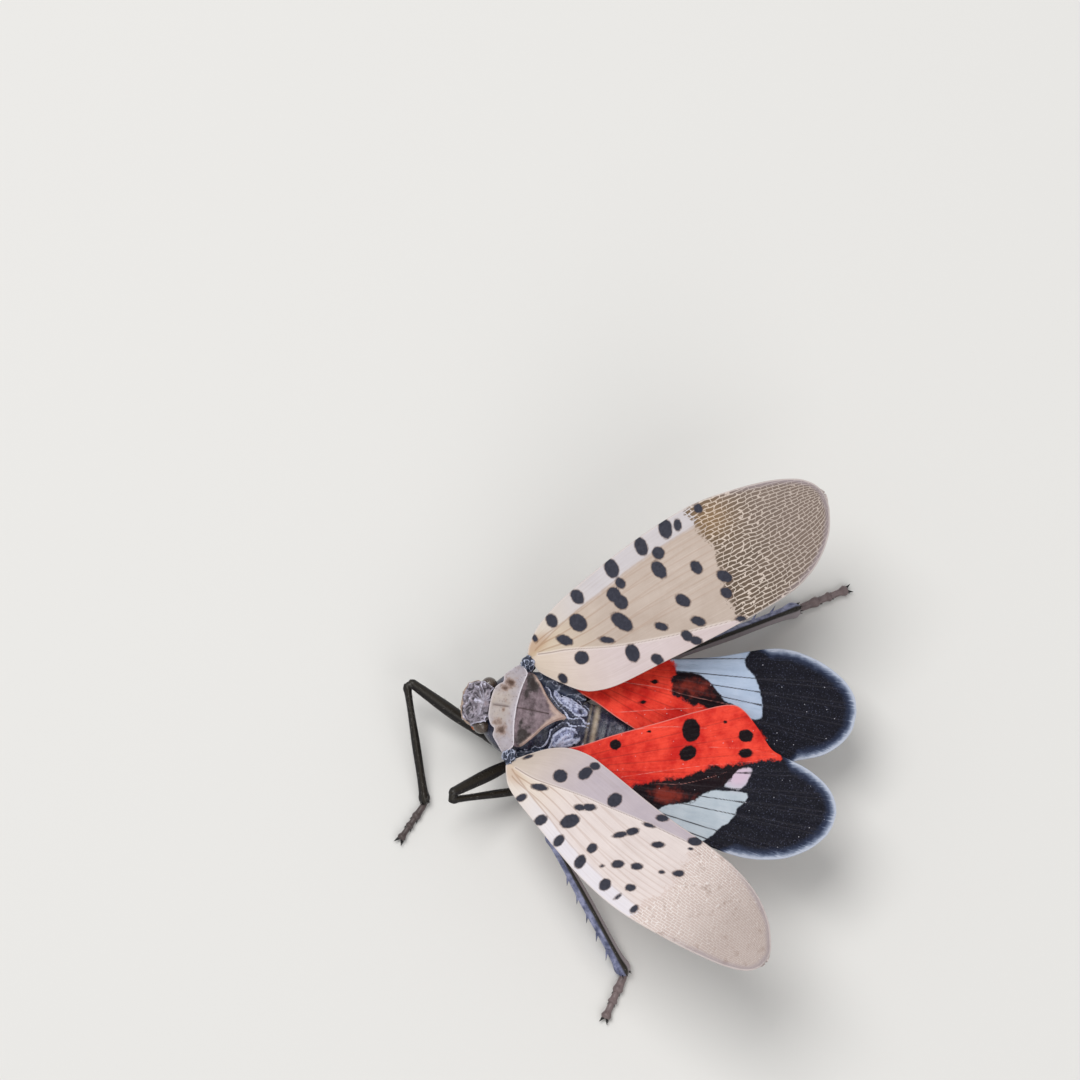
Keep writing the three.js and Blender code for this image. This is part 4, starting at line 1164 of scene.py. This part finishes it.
def make_hindwing(side, plan):
    blank, across, along = sheet(HINDWING_COLUMNS, HINDWING_ROWS)
    front = along_edge(plan["front"], along)
    rear = along_edge(plan["rear"], along)
    flat = rear + (front - rear) * across[:, None]
    span = np.linalg.norm(front - rear, axis=1)
    from_pivot = flat - FAN_PIVOT
    reach = np.linalg.norm(from_pivot, axis=1)
    fan = np.degrees(np.arctan2(from_pivot[:, 0], from_pivot[:, 1]))
    fork = FAN_FORK * np.clip((reach - 13) / 2, 0, 1)
    vein = np.full(len(across), 9.0)
    for place in FAN_VEINS:
        vein = np.minimum(vein, np.abs(np.abs(fan - place) - fork) * reach * math.pi / 180)
    folds = to_lines(flat, plan["folds"])
    arch = HINDWING_CAMBER * 4 * across * (1 - across) * (0.3 + 0.7 * np.sin(math.pi * along))
    pleats = 0.025 * np.cos(fan * 2 * math.pi / PLEAT_WIDTH) * np.clip((reach - 3) / 5, 0, 1)
    height = arch * np.clip(span / 3, 0, 1) + pleats
    height = height + 0.008 * bump_at(vein, 0.09) + 0.02 * bump_at(folds, 0.08)
    points = set_wing(flat, height, plan["hinge"], plan["way"], plan["rise"], 0, plan["sweep"])
    rim = to_line(flat, bent(plan["front"][3:] + plan["rear"][:-7:-1], 4))
    outer = np.clip((flat[:, 1] - 12.2 + 0.5 * np.clip(flat[:, 0] - 1, -3, 9)) / 1.5, 0, 1)
    white = np.min([to_patch(flat, outline) for outline in plan["white"]], axis=0)
    rosy = bump_at(np.hypot(flat[:, 0] + 1.2, flat[:, 1] - 12.0), 1.2) * (plan["way"] > 0)
    rust = bump_at(np.hypot((flat[:, 0] - plan["rust"][0]) / 0.6, (flat[:, 1] - plan["rust"][1]) / 1.3), 1.0)
    made = assemble(
        f"hindwing_sheet_{side}", blank, points, hindwing_finish, "hindwing", [f"hindwing_{side}"],
        fan=fan, reach=reach, vein=vein, fold=folds, margin=rim + (1 - outer) * 1.5, white=white, rosy=rosy,
        cool=np.full(len(across), 0.9 if plan["way"] < 0 else 0.2),
        red=to_patch(flat, plan["red"]), stain=to_patch(flat, plan["stain"]), rust=rust,
        spot=to_spots(flat, plan["spots"]), inner_edge=across * span + 3 * (along > 0.62),
    )
    thicken(made, HINDWING_THICKNESS)


for side, plan in HINDWINGS.items():
    make_hindwing(side, plan)

# Legs: each is a chain of hip, thigh, keeled shin and three-jointed foot, of satin brown-black cuticle.
# Spines stand along the hind shins and ring the ends of shins and foot joints, and fine hairs cover all.
LEGS = {
    # hip, end of the hip, knee, and the ankle and toe seen from above
    "front_left": ([1.25, -0.6, 1.5], [1.1, -1.6, 1.3], [-0.95, -6.7, 2.9], [5.9, -4.4], [8.5, -5.5]),
    "middle_left": ([1.75, 1.2, 1.6], [2.4, 0.8, 2.2], [5.7, -2.85, 4.5], [3.5, 2.6], [4.7, 5.1]),
    "hind_left": ([1.6, 3.3, 1.35], [2.3, 3.1, 1.7], [7.1, 3.6, 4.4], [14.0, 9.9], [17.1, 9.2]),
    "front_right": ([-1.2, -0.85, 1.5], [-2.0, -0.65, 1.55], [-5.1, 1.3, 3.4], [-10.2, 5.1], [-12.4, 6.9]),
    "middle_right": ([-1.75, 1.2, 1.6], [-2.4, 1.5, 2.0], [-6.3, 4.6, 4.2], [-10.3, 9.2], [-12.2, 11.4]),
    "hind_right": ([-1.6, 3.3, 1.35], [-2.2, 3.8, 1.7], [-5.3, 8.2, 3.2], [-11.0, 16.3], [-12.9, 19.2]),
}
ANKLE_HEIGHT = 0.42
FOOT_HEIGHT = 0.27
KNEE_REACH = 0.15
KNEE_OFFSET = 0.45
HIND_THIGH_GIRTH = 1.08
HIND_SHIN_GIRTH = 1.45
HIND_FOOT_GIRTH = 1.2
COXA = [[-0.1, 0.3], [0.2, 0.44], [0.7, 0.38], [1.05, 0.24]]
FEMUR = [
    [-0.03, 0.2], [0.04, 0.27], [0.12, 0.3], [0.4, 0.4], [0.75, 0.35], [0.93, 0.3], [1.0, 0.26],
    [1.03, 0.14],
]
TIBIA = [
    [-0.02, 0.16], [0.02, 0.26], [0.06, 0.22], [0.1, 0.21], [0.5, 0.25], [0.9, 0.27], [0.98, 0.31],
    [1.01, 0.18],
]
KNEE_BEND = [[-0.1, 0.2], [0.4, 0.27], [1.1, 0.2]]
LIMB_SIDES = 28
FOOT_ROWS = 30
FOOT_SIDES = 22
FOOT_JOINTS = [
    # start and end along the foot, neck and bulb radius
    (0.0, 0.42, 0.2, 0.27),
    (0.38, 0.66, 0.18, 0.25),
    (0.6, 0.98, 0.17, 0.27),
]
SIDE_SPINES = 5
CROWN_SPINES = 7
SPINE_LENGTH = 0.85
SPINE_RADIUS = 0.11
SPINE_ROWS = 6
SPINE_SIDES = 7
HAIRS_A_MILLIMETRE = 16
HAIR_LENGTH = 0.2
HAIR_RADIUS = 0.008
HAIR_SEED = 20
VERTS_A_HAIR = 6


def paint_leg(tree, hind):
    """Brown-black with a painted olive highlight along the top; hind shins are blue-grey outside, partly a
    painted highlight, and tan inside.
    """
    base = cloudy(tree, "0a0809", "1f1a19", 1500.0, 4.0)
    # painted highlight: olive along the top of every joint
    cuticle = over(tree, step(tree, mark_of(tree, "upper"), 0.75, 0.98, 0.0, 0.35), base, "3a3427")
    if hind:
        # blue-grey on the outward side: partly the shin's own colour, partly a painted highlight
        blue = over(tree, step(tree, speckle(tree, 2000.0, 5.0), 0.3, 0.7), "4c5270", "a3a6c6")
        grey = over(tree, step(tree, mark_of(tree, "outward"), 0.05, 0.4, 0.0, 0.95), cuticle, blue)
        tan = over(tree, step(tree, mark_of(tree, "outward"), -0.35, -0.65, 0.0, 0.8), grey, "a3989b")
        cuticle = over(tree, mark_of(tree, "shin"), cuticle, tan)
    foot = cloudy(tree, "453a3d", "998684", 2500.0, 4.0)
    strength = 0.9 if hind else 0.35
    footed = over(tree, step(tree, mark_of(tree, "foot"), 0.2, 0.8, 0.0, strength), cuticle, foot)
    tipped = over(tree, step(tree, mark_of(tree, "tip"), 0.3, 0.9), footed, "0b0908")
    return tipped, speckle(tree, 9000.0, 5.0, 0.7)


class Leg:
    """The joined shells of one leg, with the marks of every point and the places for hairs."""

    def __init__(self):
        self.shape = bmesh.new()
        self.points = []
        self.marks = {"upper": [], "outward": [], "shin": [], "foot": [], "tip": []}
        self.roots = []

    def add(self, skin, points, **marks):
        """Joins one more shell, whose marks are 0 where none is given."""
        mesh = bpy.data.meshes.new("part")
        skin.to_mesh(mesh)
        skin.free()
        self.shape.from_mesh(mesh)
        bpy.data.meshes.remove(mesh)
        self.points.extend(points)
        for name, values in self.marks.items():
            values.extend(np.broadcast_to(marks.get(name, 0.0), len(points)))


def side_of(line):
    """The level direction square to a limb."""
    return line.cross(Vector((0, 0, 1))).normalized()


def limb(leg, start, end, profile, girth=1.0, rows=60, keels=0.0, shin=0.0, hairy=True):
    """One joint of a leg between two places, with its hair roots kept for later."""
    start = Vector(start)
    line = Vector(end) - start
    length = line.length
    scaled = [[along * length, radius * girth] for along, radius in profile]
    skin, points, _, turn = stalk(scaled, start, line, rows, LIMB_SIDES, keels=keels)
    out = np.sin(turn) * (1 if side_of(line).y < 0 else -1)
    # upper is 1 along the top, where the leg paint puts its painted highlight
    leg.add(skin, points, upper=np.cos(turn), outward=out, shin=shin)
    if hairy:
        leg.roots.append((start, line.normalized(), length, scaled))


def spine(leg, root, direction, length, radius, tip=0.7, blue=0.0):
    """A slim thorn, sunk into what it grows from, dark towards its tip and blue-grey, partly a painted
    highlight, if asked.
    """
    profile = [[-0.1, radius], [0.3 * length, radius * 0.8], [length, 0.01]]
    skin, points, reach, _ = stalk(profile, root, direction, SPINE_ROWS, SPINE_SIDES)
    dark = np.clip(reach / length, 0, 1) * tip + 0.25 * (1 - blue)
    leg.add(skin, points, tip=dark, outward=blue, shin=blue)


def shin_start(hip_end, knee, ankle):
    """A sharply folded shin starts a little beyond the thigh and beside it."""
    thigh = (knee - hip_end).normalized()
    shin = (ankle - knee).normalized()
    fold = max(0.0, -thigh.dot(shin))
    beside = (shin + thigh * fold).normalized()
    return knee + thigh * KNEE_REACH * fold + beside * KNEE_OFFSET * fold


def foot(leg, ankle, toe, hind):
    """Three swollen joints on flat soles, each ending in two thorns, and two claws at the tip."""
    start = Vector((*ankle, FOOT_HEIGHT))
    line = Vector((*toe, FOOT_HEIGHT)) - start
    girth = HIND_FOOT_GIRTH if hind else 1.0
    for begin, end, neck, bulb in FOOT_JOINTS:
        run = (end - begin) * line.length
        joint = [[0, neck * 0.8], [0.25, neck], [0.6, neck * 1.1], [0.88, bulb], [1, bulb * 0.7]]
        profile = [[along * run, radius * girth] for along, radius in joint]
        root = start + line * begin
        skin, points, _, turn = stalk(profile, root, line, FOOT_ROWS, FOOT_SIDES)
        # upper carries the painted highlight along the top of the foot
        leg.add(skin, points, foot=1.0, upper=np.cos(turn))
        leg.roots.append((root, line.normalized(), run, profile))
        for way in (-1, 1):
            beside = side_of(line) * way
            root = start + line * end * 0.97 + beside * bulb * 0.6 - Vector((0, 0, 0.1))
            spine(leg, root, line.normalized() + beside * 0.5 - Vector((0, 0, 0.2)), 0.22, 0.07)
    for way in (-1, 1):
        beside = side_of(line) * way
        root = start + line * 0.96 + beside * 0.1
        spine(leg, root, line.normalized() + beside * 0.45 - Vector((0, 0, 0.1)), 0.42, 0.1, 1.0)


def grow_hairs(leg, name, nodes, seed):
    """Fine short hairs lean along the leg; each is a three-sided thorn, joined into one mesh."""
    draw = random.Random(seed)
    coat = bmesh.new()
    patches = []
    for line_number, (start, line, length, profile) in enumerate(leg.roots):
        beside = side_of(line)
        above = beside.cross(line)
        for _ in range(int(length * HAIRS_A_MILLIMETRE)):
            place = draw.uniform(0.05, 0.97)
            turn = draw.uniform(0, 2 * math.pi)
            radius = read_off(profile, place * length)[0]
            out = beside * math.sin(turn) + above * math.cos(turn)
            root = start + line * place * length + out * radius * 0.95
            lean = (out + line * draw.uniform(0.8, 1.8)).normalized()
            reach = HAIR_LENGTH * draw.uniform(0.6, 1.3)
            if root.z + lean.z * reach < 0.02:
                continue
            turned = lean.to_track_quat("Z", "Y").to_matrix().to_4x4()
            bmesh.ops.create_cone(
                coat, cap_ends=True, segments=3, radius1=HAIR_RADIUS, radius2=0.001, depth=reach,
                matrix=Matrix.Translation(root + lean * reach / 2) @ turned,
            )
            patches.append((turn / (2 * math.pi), (line_number + place) / len(leg.roots)))
    points = np.array([vert.co for vert in coat.verts])
    unwrap = coat.loops.layers.uv.new("OFBake")
    for face in coat.faces:
        for loop in face.loops:
            hair, corner = divmod(loop.vert.index, VERTS_A_HAIR)
            across, along = patches[hair]
            loop[unwrap].uv = (across + 0.001 * (corner % 3), along + 0.002 * (corner // 3))
    assemble(name, coat, points, hair_finish, "leg", nodes)


def paint_hair(tree):
    """Dull straw-grey hairs."""
    return cloudy(tree, "5e5a58", "b9b3ac", 2500.0), speckle(tree, 9000.0)


hair_finish = finish("hair", paint_hair, 0.002, (0.5, 0.7))
leg_finishes = {
    hind: finish(name, lambda tree: paint_leg(tree, hind), 0.02, (0.25, 0.5), Specular_IOR_Level=0.35)
    for hind, name in ((False, "leg cuticle"), (True, "hind leg cuticle"))
}
for number, (place, (hip, hip_end, knee, ankle, toe)) in enumerate(LEGS.items()):
    hind = place.startswith("hind")
    leg = Leg()
    hip_end, knee = Vector(hip_end), Vector(knee)
    foot_start = Vector((*ankle, ANKLE_HEIGHT))
    shin = shin_start(hip_end, knee, foot_start)
    limb(leg, hip, hip_end, COXA, rows=30, hairy=False)
    limb(leg, hip_end, knee, FEMUR, HIND_THIGH_GIRTH if hind else 1.0, keels=0.03)
    if (shin - knee).length > 0.2:
        inside = knee - (knee - hip_end).normalized() * 0.2
        limb(leg, inside, shin, KNEE_BEND, rows=16, hairy=False)
    limb(leg, shin, foot_start, TIBIA, HIND_SHIN_GIRTH if hind else 1.0, keels=0.08, shin=1.0)
    line = (foot_start - shin).normalized()
    beside = side_of(line)
    above = beside.cross(line)
    if hind:
        length = (foot_start - shin).length
        forward = beside if beside.y < 0 else -beside
        for index in range(SIDE_SPINES):
            part = index / (SIDE_SPINES - 1)
            root = shin + line * length * (0.28 + 0.52 * part) + forward * 0.2
            reach = SPINE_LENGTH * (0.75 + 0.25 * part)
            spine(leg, root, line + forward * 0.7, reach, SPINE_RADIUS, 0.75, 1.0)
    crown_reach = SPINE_LENGTH * (0.5 if hind else 0.3)
    for index in range(CROWN_SPINES):
        turn = 2 * math.pi * index / CROWN_SPINES
        out = beside * math.sin(turn) + above * math.cos(turn)
        root = foot_start - line * 0.2 + out * 0.2
        if root.z > 0.25:
            spine(leg, root, line * 1.2 + out * 0.6, crown_reach, SPINE_RADIUS * 0.7)
    foot(leg, ankle, toe, hind)
    nodes = [f"{joint}_{place}" for joint in ("coxa", "femur", "tibia", "tarsus")]
    points = np.array(leg.points)
    points[:, 2] = np.maximum(points[:, 2], 0.0)
    assemble(f"leg_{place}", leg.shape, points, leg_finishes[hind], "leg", nodes, **leg.marks)
    grow_hairs(leg, f"leg_hairs_{place}", nodes, HAIR_SEED + number)

# Rostrum: the jointed beak, a slim dark tube of hard cuticle with a swelling at each joint.
# It hangs from the lower end of the face and lies folded back under the breast, between the hips.
ROSTRUM_PROFILE = [
    [-0.35, 0.24], [0.0, 0.26], [0.9, 0.22], [1.0, 0.25], [2.6, 0.22], [2.7, 0.24], [4.2, 0.17],
    [4.5, 0.08],
]
ROSTRUM_ROOT = [0, -2.1, 1.6]
ROSTRUM_SLOPE = math.radians(8.5)
ROSTRUM_ROWS = 90
ROSTRUM_SIDES = 24
direction = [0, math.cos(ROSTRUM_SLOPE), -math.sin(ROSTRUM_SLOPE)]
skin, points, reach, turn = stalk(
    ROSTRUM_PROFILE, ROSTRUM_ROOT, direction, ROSTRUM_ROWS, ROSTRUM_SIDES, keels=0.04,
)
none = np.zeros(len(turn))
# upper gives the beak the legs' painted olive highlight along its top
assemble(
    "beak", skin, points, leg_finishes[False], "leg", ["rostrum"],
    upper=np.cos(turn), outward=none, shin=none, foot=none, tip=np.clip((reach - 3.9) * 2, 0, 1),
)

# Stage: a plain pale matt floor, two broad soft lamps and an even pale sky.
# The camera looks down on the back at the photograph's angle and framing, far off with a long lens.
FLOOR_HALF = 1.5
floor_shape = bmesh.new()
bmesh.ops.create_grid(floor_shape, x_segments=1, y_segments=1, size=FLOOR_HALF)
floor_mesh = bpy.data.meshes.new("floor")
floor_shape.to_mesh(floor_mesh)
floor_shape.free()
floor = bpy.data.objects.new("floor", floor_mesh)
floor_paint = bpy.data.materials.new("pale floor")
floor_paint.use_nodes = True
floor_shader = floor_paint.node_tree.nodes["Principled BSDF"]
floor_shader.inputs["Base Color"].default_value = tint("dcdad6")
floor_shader.inputs["Roughness"].default_value = 0.85
floor_mesh.materials.append(floor_paint)
bpy.context.scene.collection.objects.link(floor)

LIGHTS = {
    # place and width in metres, watts
    "key": ((-0.12, -0.18, 0.5), 0.3, 1.85),
    "fill": ((0.35, 0.25, 0.4), 0.4, 1.0),
}
for name, (place, width, watts) in LIGHTS.items():
    lamp = bpy.data.lights.new(name, "AREA")
    lamp.size = width
    lamp.energy = watts
    stand = bpy.data.objects.new(name, lamp)
    stand.location = place
    stand.rotation_euler = (-Vector(place)).to_track_quat("-Z", "Y").to_euler()
    bpy.context.scene.collection.objects.link(stand)
sky = bpy.data.worlds.new("soft sky")
sky.use_nodes = True
glow = sky.node_tree.nodes["Background"]
glow.inputs["Color"].default_value = (0.95, 0.97, 1.0, 1.0)
glow.inputs["Strength"].default_value = 0.46
bpy.context.scene.world = sky
bpy.context.scene.view_settings.view_transform = "Standard"

CAMERA_AIM = [-11.047, -0.540, 5.0]
CAMERA_RIGHT = Vector((-0.189256, 0.980955, 0.043693))
CAMERA_UP = Vector((-0.955813, -0.194234, 0.220667))
CAMERA_BACK = Vector((0.224951, 0.0, 0.974370))
CAMERA_DISTANCE = 400
SENSOR = 36.0
VIEW_WIDTH = 67.5
camera_data = bpy.data.cameras.new("camera")
camera_data.sensor_width = SENSOR
camera_data.lens = SENSOR * CAMERA_DISTANCE / VIEW_WIDTH
camera_data.clip_start = 0.01
camera_data.clip_end = 10
camera = bpy.data.objects.new("camera", camera_data)
bpy.context.scene.collection.objects.link(camera)
turned = Matrix((CAMERA_RIGHT, CAMERA_UP, CAMERA_BACK)).transposed().to_4x4()
aim = Vector(np.array(CAMERA_AIM) * MILLIMETRE + INSECT_ZERO)
camera.matrix_world = Matrix.Translation(aim + CAMERA_BACK * CAMERA_DISTANCE * MILLIMETRE) @ turned
bpy.context.scene.camera = camera
